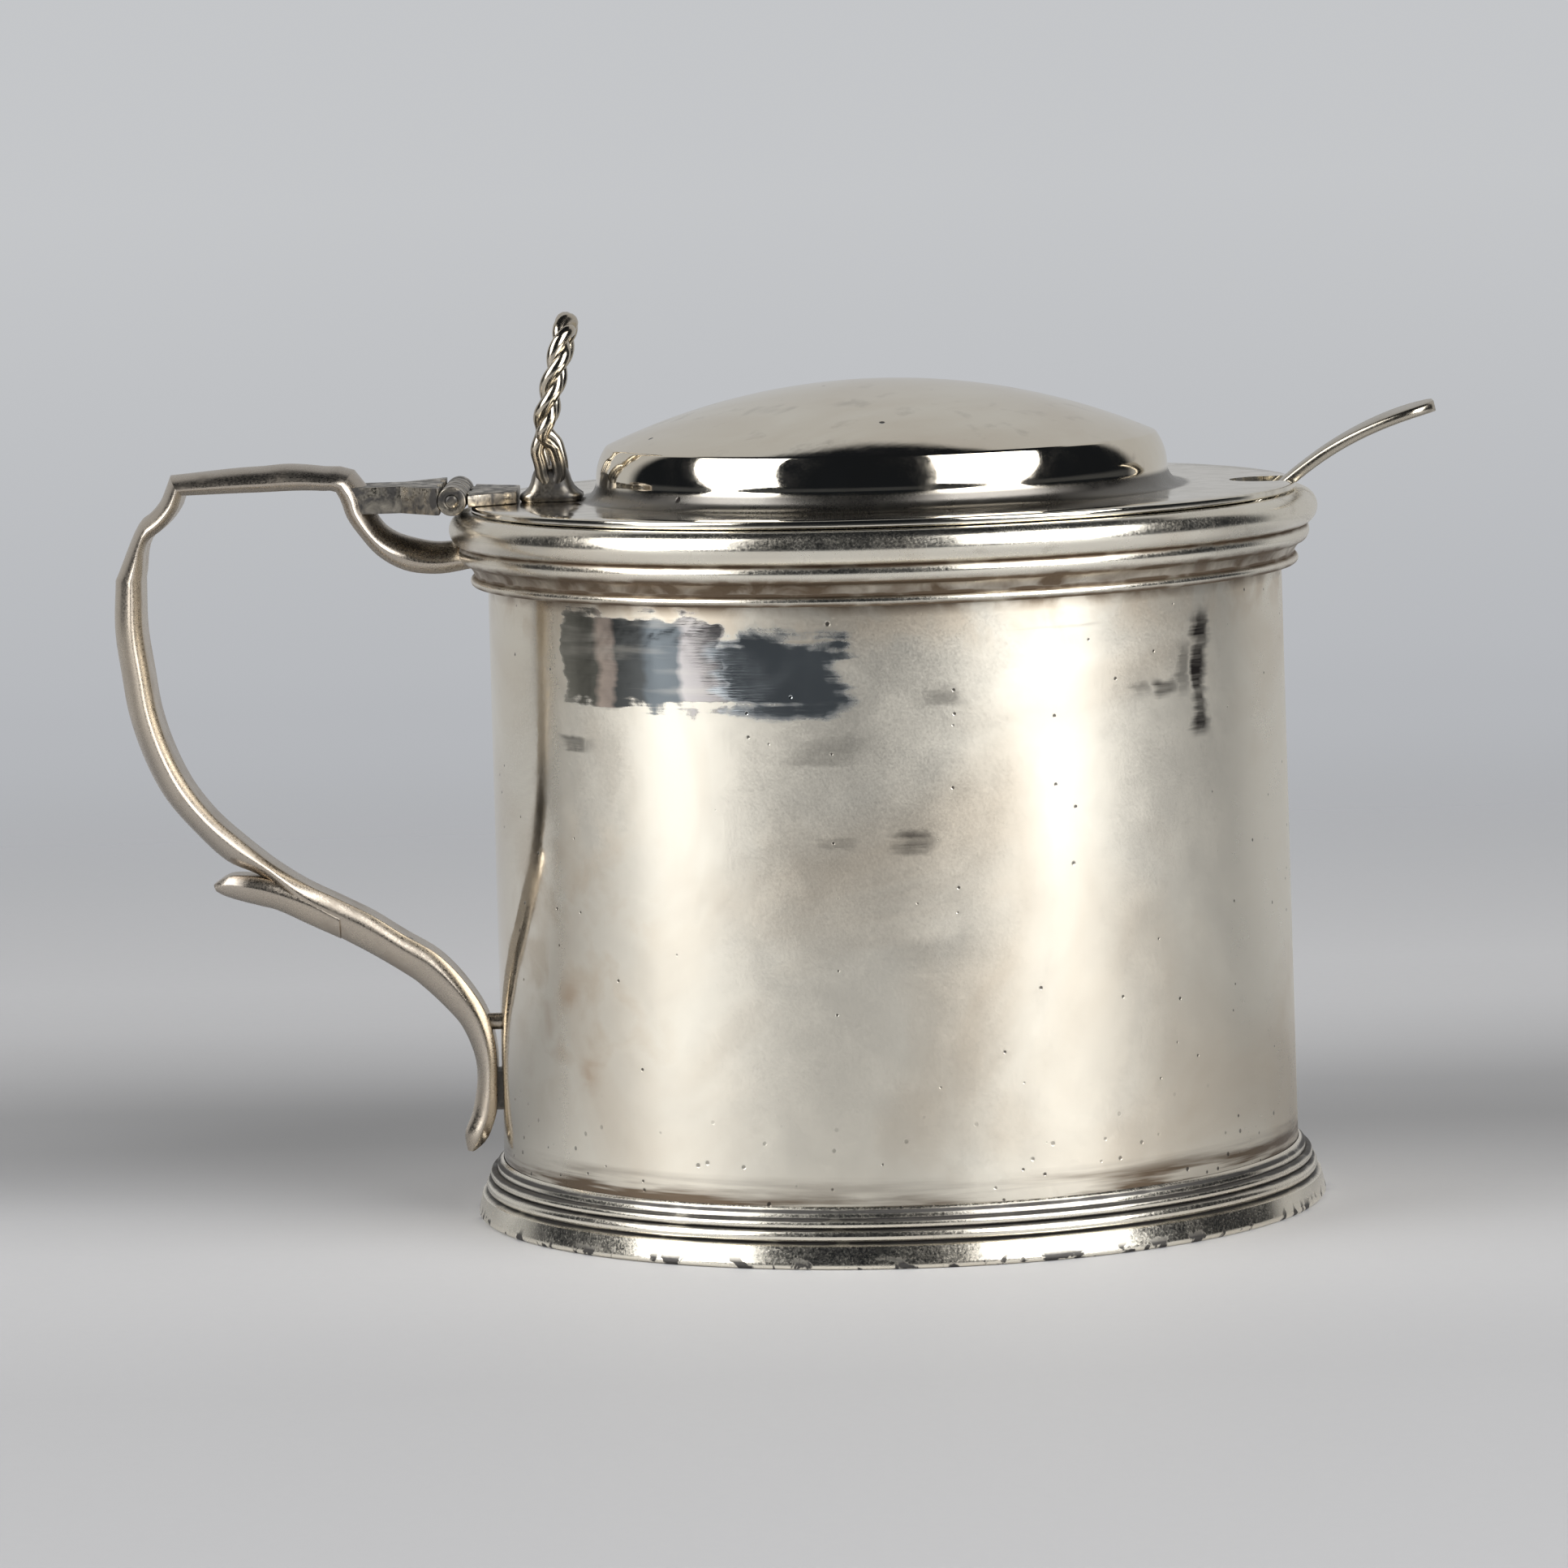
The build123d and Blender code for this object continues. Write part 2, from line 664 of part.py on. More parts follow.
stem_sections = [
    stem_section(around(rest_point, place, spoon_slope), spoon_slope, width) for place, width in stem_rows
]
for share, width in terminal_rows:
    slope = spoon_slope - stem_arc_sweep * share
    bend_point = around(bend_centre, stem_arc_radius, slope + 90)
    stem_sections.append(stem_section(bend_point, slope, width))
with BuildPart() as spoon_stem:
    loft(stem_sections, ruled=True)
bowl_rim = stem_thickness / 2 + bowl_lip
bowl_plane = Plane(
    origin=slope_plane.from_local_coords((bowl_half_length - spoon_length_inside, 0, bowl_rim + bowl_cut)),
    x_dir=slope_plane.x_dir,
    z_dir=(0, -1, 0),
)
with BuildPart() as spoon_bowl:
    with BuildSketch(bowl_plane):
        Ellipse(bowl_long_radius, bowl_short_radius)
        Ellipse(bowl_long_radius - bowl_sheet, bowl_short_radius - bowl_sheet, mode=Mode.SUBTRACT)
        Rectangle(
            3 * bowl_long_radius,
            2 * bowl_short_radius,
            align=(Align.CENTER, Align.MIN),
            mode=Mode.SUBTRACT,
        )
    revolve(axis=Axis(bowl_plane.origin, bowl_plane.x_dir))
    with BuildSketch(slope_plane.offset(bowl_rim)):
        with Locations((bowl_half_length - spoon_length_inside, 0)):
            Rectangle(3 * bowl_long_radius, 3 * bowl_short_radius)
    extrude(amount=2 * bowl_short_radius + bowl_cut, mode=Mode.SUBTRACT)
with BuildPart() as mustard_spoon:
    add(spoon_stem.part)
    add(spoon_bowl.part)
save(mustard_spoon, "mustard_spoon")
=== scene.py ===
from math import asin, atan2, copysign, cos, degrees, hypot, pi, radians, sin, sqrt

import bpy
from mathutils import Matrix, Vector


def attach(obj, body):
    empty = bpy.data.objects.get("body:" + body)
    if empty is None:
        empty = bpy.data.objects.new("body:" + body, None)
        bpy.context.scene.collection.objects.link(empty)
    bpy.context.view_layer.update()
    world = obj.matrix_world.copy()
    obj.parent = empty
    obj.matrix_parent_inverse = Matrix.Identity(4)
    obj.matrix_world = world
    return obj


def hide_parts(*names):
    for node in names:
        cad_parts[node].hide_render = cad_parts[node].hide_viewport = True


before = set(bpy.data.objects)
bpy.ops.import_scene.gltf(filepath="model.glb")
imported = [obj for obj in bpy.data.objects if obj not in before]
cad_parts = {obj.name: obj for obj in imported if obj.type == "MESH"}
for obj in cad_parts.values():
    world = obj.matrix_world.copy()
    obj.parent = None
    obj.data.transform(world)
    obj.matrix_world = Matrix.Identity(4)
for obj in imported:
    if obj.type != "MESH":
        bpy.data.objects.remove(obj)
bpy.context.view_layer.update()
mm = 0.001

# what several pieces share, in millimetres, as the solids have it
pot = {
    "topRadius": 33.0,
    "baseRadius": 33.34,
    "drumHeight": 57.3,
    "crest": 58.95,
    "solderFilm": 0.03,
}

print("helpers")


def around(centre, radius, turn):
    return (centre[0] + radius * cos(radians(turn)), centre[1] + radius * sin(radians(turn)))


def arcPoints(centre, radius, firstTurn, lastTurn, steps):
    turns = [firstTurn + (lastTurn - firstTurn) * step / steps for step in range(steps + 1)]
    return [around(centre, radius, turn) for turn in turns]


def arcThrough(first, middle, last, steps):
    (ax, az), (bx, bz), (cx, cz) = first, middle, last
    area = 2 * (ax * (bz - cz) + bx * (cz - az) + cx * (az - bz))
    a2, b2, c2 = ax * ax + az * az, bx * bx + bz * bz, cx * cx + cz * cz
    centre = (
        (a2 * (bz - cz) + b2 * (cz - az) + c2 * (az - bz)) / area,
        (a2 * (cx - bx) + b2 * (ax - cx) + c2 * (bx - ax)) / area,
    )
    turns = [degrees(atan2(point[1] - centre[1], point[0] - centre[0])) for point in (first, middle, last)]
    toMiddle = (turns[1] - turns[0]) % 360
    toLast = (turns[2] - turns[0]) % 360
    if toMiddle > toLast:
        toLast -= 360  # the arc runs the other way round
    return arcPoints(centre, hypot(ax - centre[0], az - centre[1]), turns[0], turns[0] + toLast, steps)


def straight(first, last, steps):
    return [
        (first[0] + (last[0] - first[0]) * step / steps, first[1] + (last[1] - first[1]) * step / steps)
        for step in range(steps + 1)
    ]


def smoothRows(rows, steps):
    # a smooth curve through rows of numbers, spaced by the first two
    spans = [max(hypot(b[0] - a[0], b[1] - a[1]), 1e-6) for a, b in zip(rows, rows[1:])]
    slopes = [[(q - p) / span for p, q in zip(a, b)] for a, b, span in zip(rows, rows[1:], spans)]
    tangents = [slopes[0]]
    for index in range(1, len(rows) - 1):
        before, after = spans[index - 1], spans[index]
        tangents.append([
            (s * after + t * before) / (before + after) for s, t in zip(slopes[index - 1], slopes[index])
        ])
    tangents.append(slopes[-1])
    result = []
    for index, span in enumerate(spans):
        count = max(1, round(span / steps))
        for part in range(count):
            u = part / count
            weights = (2 * u**3 - 3 * u**2 + 1, u**3 - 2 * u**2 + u, -2 * u**3 + 3 * u**2, u**3 - u**2)
            result.append([
                weights[0] * a + weights[1] * span * m + weights[2] * b + weights[3] * span * n
                for a, b, m, n in zip(rows[index], rows[index + 1], tangents[index], tangents[index + 1])
            ])
    return result + [list(rows[-1])]


def startMesh(name):
    # a plane merged to one vertex, ready to be extruded into an outline
    bpy.ops.object.select_all(action="DESELECT")
    bpy.ops.mesh.primitive_plane_add(size=mm, location=(0, 0, 0))
    piece = bpy.context.object
    piece.name = name
    piece.data.name = name
    bpy.ops.object.mode_set(mode="EDIT")
    bpy.ops.mesh.select_mode(type="VERT")
    bpy.ops.mesh.merge(type="CENTER")
    return piece


def drawOutline(points, place):
    # place turns an outline's point into metres
    here = place(points[0])
    bpy.ops.transform.translate(value=here)
    for point in points[1:]:
        there = place(point)
        step = tuple(b - a for a, b in zip(here, there))
        bpy.ops.mesh.extrude_region_move(TRANSFORM_OT_translate={"value": step})
        here = there
    bpy.ops.mesh.select_all(action="SELECT")
    bpy.ops.mesh.remove_doubles(threshold=1e-6)


def closeMesh(angle=35):
    bpy.ops.mesh.select_all(action="SELECT")
    bpy.ops.mesh.remove_doubles(threshold=1e-6)
    bpy.ops.mesh.normals_make_consistent(inside=False)
    bpy.ops.object.mode_set(mode="OBJECT")
    bpy.ops.object.shade_smooth_by_angle(angle=radians(angle))


def spinOutline(name, points, steps=256, angle=35):
    piece = startMesh(name)
    drawOutline(points + points[:1], lambda point: (point[0] * mm, 0, point[1] * mm))
    bpy.ops.mesh.spin(steps=steps, angle=2 * pi, center=(0, 0, 0), axis=(0, 0, 1))
    closeMesh(angle)
    return piece


def sweepOutline(name, outline, stations, angle=32):
    # the outline lies across (half width 1) and up (thickness 1)
    # a station is x, z, turn, thickness and half width
    piece = startMesh(name)
    drawOutline(outline + outline[:1], lambda point: (point[1] * mm, point[0] * mm, 0))
    bpy.ops.mesh.edge_face_add()
    x, z, turn, thickness, half = stations[0]
    bpy.ops.transform.resize(value=(thickness, half, 1), center_override=(0, 0, 0))
    bpy.ops.transform.rotate(value=turn, orient_axis="Y", center_override=(0, 0, 0))
    bpy.ops.transform.translate(value=(x * mm, 0, z * mm))
    for before, after in zip(stations, stations[1:]):
        step = ((after[0] - before[0]) * mm, 0, (after[1] - before[1]) * mm)
        bpy.ops.mesh.extrude_region_move(TRANSFORM_OT_translate={"value": step})
        centre = (after[0] * mm, 0, after[1] * mm)
        bpy.ops.transform.rotate(value=-before[2], orient_axis="Y", center_override=centre)
        growth = (after[3] / before[3], after[4] / before[4], 1)
        bpy.ops.transform.resize(value=growth, center_override=centre)
        bpy.ops.transform.rotate(value=after[2], orient_axis="Y", center_override=centre)
    closeMesh(angle)
    return piece


def makeActive(piece):
    bpy.ops.object.select_all(action="DESELECT")
    piece.select_set(True)
    bpy.context.view_layer.objects.active = piece


def applyModifier(piece, kind, **settings):
    makeActive(piece)
    bpy.ops.object.modifier_add(type=kind)
    modifier = piece.modifiers[-1]
    for key, value in settings.items():
        setattr(modifier, key, value)
    bpy.ops.object.modifier_apply(modifier=modifier.name)


def combine(piece, other, operation):
    applyModifier(piece, "BOOLEAN", object=other, operation=operation, solver="EXACT")
    makeActive(other)
    bpy.ops.object.delete()


def block(low, high):
    bpy.ops.object.select_all(action="DESELECT")
    middle = [(a + b) / 2 * mm for a, b in zip(low, high)]
    size = [(b - a) * mm for a, b in zip(low, high)]
    bpy.ops.mesh.primitive_cube_add(size=1, location=middle)
    bpy.context.object.scale = size
    bpy.ops.object.transform_apply(location=True, rotation=True, scale=True)
    return bpy.context.object


def finishPiece(piece, body, slotName, material, *nodes):
    piece.data.materials.clear()
    piece.data.materials.append(material)
    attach(piece, body)
    if nodes:
        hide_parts(*nodes)


print("finishes")


def mathNode(tree, operation, first, second=0.0):
    node = tree.nodes.new("ShaderNodeMath")
    node.operation = operation
    for index, value in enumerate((first, second)):
        if isinstance(value, (int, float)):
            node.inputs[index].default_value = value
        else:
            tree.links.new(value, node.inputs[index])
    return node.outputs[0]


def times(tree, first, second):
    return mathNode(tree, "MULTIPLY", first, second)


def larger(tree, first, second):
    return mathNode(tree, "MAXIMUM", first, second)


def remap(tree, value, fromLow, fromHigh, toLow=0.0, toHigh=1.0, smooth=False):
    node = tree.nodes.new("ShaderNodeMapRange")
    if smooth:
        node.interpolation_type = "SMOOTHSTEP"
    tree.links.new(value, node.inputs["Value"])
    for key, number in zip(("From Min", "From Max", "To Min", "To Max"), (fromLow, fromHigh, toLow, toHigh)):
        node.inputs[key].default_value = number
    return node.outputs["Result"]


def blendColour(tree, factor, first, second):
    node = tree.nodes.new("ShaderNodeMix")
    node.data_type = "RGBA"
    node.clamp_factor = True
    for index, value in ((0, factor), (6, first), (7, second)):
        if isinstance(value, bpy.types.NodeSocket):
            tree.links.new(value, node.inputs[index])
        elif isinstance(value, (int, float)):
            node.inputs[index].default_value = value
        else:
            node.inputs[index].default_value = (*value, 1)
    return node.outputs[2]


def noise(tree, coords, scale, detail=3.0, distortion=0.0):
    node = tree.nodes.new("ShaderNodeTexNoise")
    tree.links.new(coords, node.inputs["Vector"])
    node.inputs["Scale"].default_value = scale
    node.inputs["Detail"].default_value = detail
    node.inputs["Distortion"].default_value = distortion
    return node.outputs[0]


def specks(tree, coords, scale, size, share):
    # scattered round spots: the distance to a cell's point, kept in a share of the cells
    node = tree.nodes.new("ShaderNodeTexVoronoi")
    tree.links.new(coords, node.inputs["Vector"])
    node.inputs["Scale"].default_value = scale
    dot = remap(tree, node.outputs["Distance"], size * 0.6, size, 1.0, 0.0)
    pick = tree.nodes.new("ShaderNodeSeparateColor")
    tree.links.new(node.outputs["Color"], pick.inputs[0])
    chosen = mathNode(tree, "LESS_THAN", pick.outputs[0], share)
    return times(tree, dot, chosen)


def objectCoords(tree):
    node = tree.nodes.new("ShaderNodeTexCoord")
    split = tree.nodes.new("ShaderNodeSeparateXYZ")
    tree.links.new(node.outputs["Object"], split.inputs[0])
    return node.outputs["Object"], split.outputs


def wrapCoords(tree, split, radius, stretch):
    # the surface unrolled: along the turn, shortened by stretch, and up
    away = times(tree, split[1], -1.0)
    turn = mathNode(tree, "ARCTAN2", split[0], away)
    node = tree.nodes.new("ShaderNodeCombineXYZ")
    tree.links.new(times(tree, turn, radius * mm / stretch), node.inputs[0])
    tree.links.new(split[2], node.inputs[2])
    return node.outputs[0], turn


def bands(tree, height, places, width):
    # one at each of the heights, falling to nothing within the width
    total = None
    for place in places:
        gap = mathNode(tree, "ABSOLUTE", mathNode(tree, "SUBTRACT", height, place * mm))
        band = remap(tree, gap, 0.0, width * mm, 1.0, 0.0, smooth=True)
        total = band if total is None else larger(tree, total, band)
    return total


def shadeRamp(tree, value, shades):
    # colours at rising places, blended between them
    first, last = shades[0][0], shades[-1][0]
    ramp = tree.nodes.new("ShaderNodeValToRGB")
    tree.links.new(remap(tree, value, first, last), ramp.inputs[0])
    for index, (place, shade) in enumerate(shades):
        share = (place - first) / (last - first)
        stops = ramp.color_ramp.elements
        stop = stops[index] if index < 2 else stops.new(share)
        stop.position = share
        stop.color = (*shade, 1)
    return ramp.outputs[0]


def window(tree, value, low, high, soft):
    rise = remap(tree, value, low - soft, low + soft, smooth=True)
    fall = remap(tree, value, high - soft, high + soft, 1.0, 0.0, smooth=True)
    return times(tree, rise, fall)


def startMaterial(name, settings):
    # settings go on the shader's own sockets
    material = bpy.data.materials.new(name)
    material.use_nodes = True
    tree = material.node_tree
    shader = tree.nodes["Principled BSDF"]
    for socket, value in settings.items():
        shader.inputs[socket].default_value = value
    return material, tree, shader


def addBump(tree, shader, layers):
    # a layer is a height and how deep it reaches in millimetres
    normal = None
    for height, distance in layers:
        node = tree.nodes.new("ShaderNodeBump")
        node.inputs["Strength"].default_value = 1.0
        node.inputs["Distance"].default_value = distance * mm
        tree.links.new(height, node.inputs["Height"])
        if normal is not None:
            tree.links.new(normal, node.inputs["Normal"])
        normal = node.outputs["Normal"]
    tree.links.new(normal, shader.inputs["Normal"])


# tarnish and soot also colour the painted shade in the rim's and foot's grooves and in the lid's crease
silverLook = {
    "clean": (0.91, 0.862, 0.75),
    "warm": (0.70, 0.60, 0.47),
    "tarnishAndShade": (0.20, 0.15, 0.105),
    "speck": (0.035, 0.03, 0.028),
    "sootAndShade": (0.105, 0.10, 0.095),
    "handle": (0.52, 0.465, 0.40),
    "dull": (0.52, 0.475, 0.395),
    "rust": (0.56, 0.39, 0.25),
}
silverScale = {"broad": 55, "mottle": 330, "fine": 5200, "speck": 420, "speckSize": 0.12}


def silverFinish(
    name, roughness, grain, warmth, dirtAndShade=None, speckShare=0.10, wave=0.03, clean="clean", film="tarnishAndShade"
):
    # grain is how far the roughness varies, wave the depth of the dents in millimetres
    # the dirt function takes the tree, the coordinates and their parts, and gives a mask of the film, which
    # is dirt and, on the rim, foot and lid, also painted shade in the grooves and the crease
    material, tree, shader = startMaterial(name, {"Metallic": 1.0})
    coords, split = objectCoords(tree)
    broad = noise(tree, coords, silverScale["broad"], 4.0, 0.6)
    mottle = noise(tree, coords, silverScale["mottle"], 5.0, 0.3)
    fine = noise(tree, coords, silverScale["fine"], 2.0)
    warmMask = times(tree, remap(tree, broad, 0.42, 0.72), warmth)
    colour = blendColour(tree, warmMask, silverLook[clean], silverLook["warm"])
    tarnishAndShade = times(tree, remap(tree, mottle, 0.58, 0.75), 0.35 * warmth)
    # the film also carries the painted shade that the dirt function gives
    if dirtAndShade is not None:
        tarnishAndShade = larger(tree, tarnishAndShade, dirtAndShade(tree, coords, split))
    colour = blendColour(tree, tarnishAndShade, colour, silverLook[film])
    spots = specks(tree, coords, silverScale["speck"], silverScale["speckSize"], speckShare)
    colour = blendColour(tree, spots, colour, silverLook["speck"])
    tree.links.new(colour, shader.inputs["Base Color"])
    rough = remap(tree, fine, 0.3, 0.7, roughness - grain, roughness + grain)
    rough = mathNode(tree, "ADD", rough, remap(tree, mottle, 0.4, 0.7, -0.02, 0.05))
    rough = mathNode(tree, "ADD", rough, times(tree, tarnishAndShade, 0.25))
    tree.links.new(larger(tree, rough, 0.03), shader.inputs["Roughness"])
    addBump(tree, shader, [(broad, wave * 2), (mottle, wave * 0.25), (spots, -0.05)])
    return material


# the drum: satin, with a clear patch under the rim, stains, smudges and fine scratches
drum = {
    "sheet": 0.9,
    "rowGap": 1.6,
    "satin": 0.36,
    "leftSide": 0.09,
    "rightSide": 0.33,
    "clear": 0.05,
    "patchTurn": (-52.0, -23.0),
    "patchHeight": (44.5, 52.2),
    "patchShades": [
        (-53.0, (0.30, 0.29, 0.24)), (-45.6, (0.20, 0.195, 0.165)), (-44.2, (0.58, 0.48, 0.40)),
        (-42.2, (0.48, 0.40, 0.34)), (-41.2, (0.115, 0.12, 0.115)), (-36.8, (0.13, 0.137, 0.135)),
        (-35.4, (0.19, 0.215, 0.23)), (-30.6, (0.19, 0.215, 0.23)), (-29.4, (0.62, 0.59, 0.575)),
        (-24.0, (0.56, 0.53, 0.515)),
    ],
    "blotTurn": (-24.0, -5.5),
    "blotHeight": (44.6, 50.4),
    "blotShade": (0.74, 0.80, 0.83),
    "flank": (52.0, 60.0),
    "streak": 14.0,
    "broad": 48,
    "mottle": 260,
    "ragged": 900,
    "fine": 5600,
    "scratch": 7000,
    "bloomTurn": (-70.0, -36.0),
    "bloomHeight": (12.0, 34.0),
    "rust": [(-49.0, 14.5), (-52.5, 21.0)],
    # turn, height, half the width in degrees, half the height, strength
    "smudges": [
        (3.6, 34.1, 2.6, 0.7, 0.8), (-7.8, 33.9, 2.4, 0.5, 0.35), (49.8, 45.6, 1.7, 4.6, 1.0),
        (45.9, 46.0, 1.2, 1.9, 0.55), (42.3, 44.9, 2.2, 0.6, 1.0), (37.0, 44.6, 1.6, 0.5, 0.5),
        (7.3, 45.2, 2.6, 0.7, 0.5), (-50.6, 41.4, 3.2, 0.5, 0.9), (-8.0, 41.4, 4.0, 0.8, 0.3),
        (5.0, 25.0, 5.0, 1.2, 0.2),
    ],
}


def drumFinish():
    material, tree, shader = startMaterial("satinDrumSilver", {"Metallic": 1.0})
    coords, split = objectCoords(tree)
    streaky, turn = wrapCoords(tree, split, pot["topRadius"], drum["streak"])
    height = mathNode(tree, "DIVIDE", split[2], mm)
    turn = times(tree, turn, 180 / pi)
    broad = noise(tree, coords, drum["broad"], 4.0, 0.8)
    mottle = noise(tree, coords, drum["mottle"], 6.0, 0.4)
    ragged = noise(tree, streaky, drum["ragged"], 4.0, 0.2)
    fine = noise(tree, coords, drum["fine"], 2.0)
    scratch = noise(tree, streaky, drum["scratch"], 3.0)
    wobble = mathNode(tree, "SUBTRACT", mathNode(tree, "ADD", mottle, ragged), 1.0)

    def shaken(value, amount):
        return mathNode(tree, "ADD", value, times(tree, wobble, amount))

    def spotMask(across, up, turnSpan, heightSpan, turnSoft, heightSoft):
        inTurn = window(tree, across, *turnSpan, turnSoft)
        return times(tree, inTurn, window(tree, up, *heightSpan, heightSoft))

    # the clear patch and the blot beside it
    patchTurn, patchHeight = shaken(turn, 5.0), shaken(height, 4.0)
    patch = spotMask(patchTurn, patchHeight, drum["patchTurn"], drum["patchHeight"], 0.5, 0.25)
    blot = spotMask(shaken(turn, 10.0), shaken(height, 3.5), drum["blotTurn"], drum["blotHeight"], 1.2, 0.5)
    clear = larger(tree, patch, blot)
    # brown bloom: near the rim, low on the left, and here and there
    bloom = remap(tree, broad, 0.45, 0.75, 0.0, 0.75)
    nearRim = remap(tree, height, 47.0, 52.5, smooth=True)
    underRim = times(tree, nearRim, remap(tree, mottle, 0.35, 0.6))
    lowLeft = spotMask(turn, height, drum["bloomTurn"], drum["bloomHeight"], 9.0, 6.0)
    lowLeft = times(tree, lowLeft, remap(tree, mottle, 0.42, 0.62, 0.1, 0.7))
    brown = larger(tree, bloom, times(tree, underRim, 0.8))
    brown = larger(tree, brown, lowLeft)
    brown = times(tree, brown, mathNode(tree, "SUBTRACT", 1.0, clear))
    colour = blendColour(tree, brown, silverLook["clean"], silverLook["warm"])
    # two small rusty blooms low on the left
    for turnAt, heightAt in drum["rust"]:
        turnSpan, heightSpan = (turnAt - 1.5, turnAt + 1.5), (heightAt - 0.8, heightAt + 0.8)
        rust = spotMask(patchTurn, patchHeight, turnSpan, heightSpan, 2.0, 1.4)
        colour = blendColour(tree, times(tree, rust, 0.7), colour, silverLook["rust"])
    # upright stains in the patch, streaked across
    stains = shadeRamp(tree, shaken(turn, 3.0), drum["patchShades"])
    pale = times(tree, remap(tree, ragged, 0.5, 0.7), 0.3)
    stain = blendColour(tree, pale, stains, silverLook["clean"])
    colour = blendColour(tree, patch, colour, stain)
    inky = times(tree, blot, remap(tree, ragged, 0.30, 0.42, 0.75, 1.0))
    colour = blendColour(tree, inky, colour, drum["blotShade"])
    # dark smudges with soft, horizontally torn edges
    smudges = None
    shifted, lifted = shaken(turn, 6.0), shaken(height, 2.0)
    for turnAt, heightAt, turnWide, heightWide, strength in drum["smudges"]:
        turnSpan = (turnAt - turnWide, turnAt + turnWide)
        heightSpan = (heightAt - heightWide, heightAt + heightWide)
        heightSoft = min(heightWide * 0.6, 0.8)
        spot = spotMask(shifted, lifted, turnSpan, heightSpan, turnWide * 0.6, heightSoft)
        spot = times(tree, spot, strength)
        smudges = spot if smudges is None else larger(tree, smudges, spot)
    smudges = times(tree, smudges, remap(tree, ragged, 0.35, 0.55, 0.5, 1.0))
    # thin lines of grime under the rim, dirt along the rim, and more above the foot at the flanks
    high = remap(tree, height, 46.0, 53.0, 0.0, 0.45)
    thinLines = times(tree, remap(tree, ragged, 0.62, 0.72), high)
    aboveFoot = remap(tree, height, 4.7, 7.2, 1.3, 0.0)
    aboveFoot = times(tree, aboveFoot, remap(tree, ragged, 0.42, 0.62, 0.15, 1.0))
    flank = remap(tree, mathNode(tree, "ABSOLUTE", turn), 12.0, 45.0, 0.8, 1.7)
    aboveFoot = times(tree, aboveFoot, flank)
    alongRim = remap(tree, height, 51.8, 52.8)
    alongRim = times(tree, alongRim, remap(tree, mottle, 0.40, 0.6, 0.35, 1.0))
    grime = larger(tree, thinLines, larger(tree, aboveFoot, alongRim))
    colour = blendColour(tree, grime, colour, silverLook["tarnishAndShade"])
    colour = blendColour(tree, smudges, colour, silverLook["speck"])
    small = specks(tree, coords, 620, 0.10, 0.28)
    large = specks(tree, coords, 210, 0.055, 0.12)
    spots = larger(tree, small, large)
    low = specks(tree, coords, 700, 0.15, 0.6)
    low = times(tree, low, remap(tree, height, 5.5, 13.0, 1.0, 0.0))
    spots = larger(tree, spots, low)
    colour = blendColour(tree, times(tree, spots, 0.85), colour, silverLook["speck"])
    tree.links.new(colour, shader.inputs["Base Color"])
    # clearer on both flanks, most on the left
    nearFlank, farFlank = drum["flank"]
    left = remap(tree, turn, -farFlank, -nearFlank, drum["leftSide"], drum["satin"], smooth=True)
    right = remap(tree, turn, nearFlank, farFlank, drum["satin"], drum["rightSide"], smooth=True)
    rough = mathNode(tree, "MINIMUM", left, right)
    rough = mathNode(tree, "ADD", rough, remap(tree, fine, 0.3, 0.7, -0.05, 0.05))
    rough = mathNode(tree, "ADD", rough, remap(tree, mottle, 0.35, 0.7, -0.03, 0.05))
    polished = remap(tree, mottle, 0.35, 0.7, drum["clear"] - 0.02, drum["clear"] + 0.03)
    blend = tree.nodes.new("ShaderNodeMix")
    for index, value in ((0, clear), (2, rough), (3, polished)):
        tree.links.new(value, blend.inputs[index])
    tree.links.new(blend.outputs[0], shader.inputs["Roughness"])
    addBump(tree, shader, [(broad, 0.08), (mottle, 0.003), (scratch, 0.0007), (spots, -0.03)])
    return material


# heights, for the painted shade in the grooves and for dirt, and for the lid's crease, where shade is
# painted, two radii
shadeAndSoiling = {
    "rimGrooves": ([52.9, 53.75, 54.75, 56.15], 0.42, 1.3),
    "rimHollow": (53.7 * mm, 55.1 * mm),
    "footGrooves": ([2.05, 3.05, 3.8, 4.4], 0.25, 1.8),
    "footEdge": (0.2 * mm, 1.1 * mm),
    "lidCrease": (23.4 * mm, 25.6 * mm),
    "thumbFoot": (61.8, 64.6, 1.2),
}


def grooveShade(places, width, strength):
    # painted shade along the grooves at the given heights, patchy, up to the given strength
    def dirtAndShade(tree, coords, split):
        mask = bands(tree, split[2], places, width)
        patchy = remap(tree, noise(tree, coords, 300, 4.0), 0.3, 0.6, 0.45, 1.0)
        return times(tree, times(tree, mask, patchy), strength)
    return dirtAndShade


def rimShadeAndDirt(tree, coords, split):
    # painted shade in the grooves, and a thinner brown film over the hollow between the reeds
    grooves = grooveShade(*shadeAndSoiling["rimGrooves"])(tree, coords, split)
    film = window(tree, split[2], *shadeAndSoiling["rimHollow"], 0.25 * mm)
    patchy = remap(tree, noise(tree, coords, 260, 4.0, 0.6), 0.35, 0.62, 0.40, 1.05)
    return larger(tree, grooves, times(tree, film, patchy))


def footShadeAndDirt(tree, coords, split):
    # painted shade in the grooves, and flakes along the lower edge
    grooves = grooveShade(*shadeAndSoiling["footGrooves"])(tree, coords, split)
    crust = noise(tree, coords, 520, 4.0, 0.5)
    edge = remap(tree, split[2], *shadeAndSoiling["footEdge"], 1.5, 0.0)
    flakes = times(tree, remap(tree, crust, 0.54, 0.58), edge)
    return larger(tree, grooves, flakes)


def hingeDirt(tree, coords, split):
    return remap(tree, noise(tree, coords, 900, 5.0, 0.5), 0.36, 0.60, 0.20, 1.0)


def lugDirt(tree, coords, split):
    return remap(tree, noise(tree, coords, 700, 5.0, 0.5), 0.30, 0.60, 0.60, 1.0)


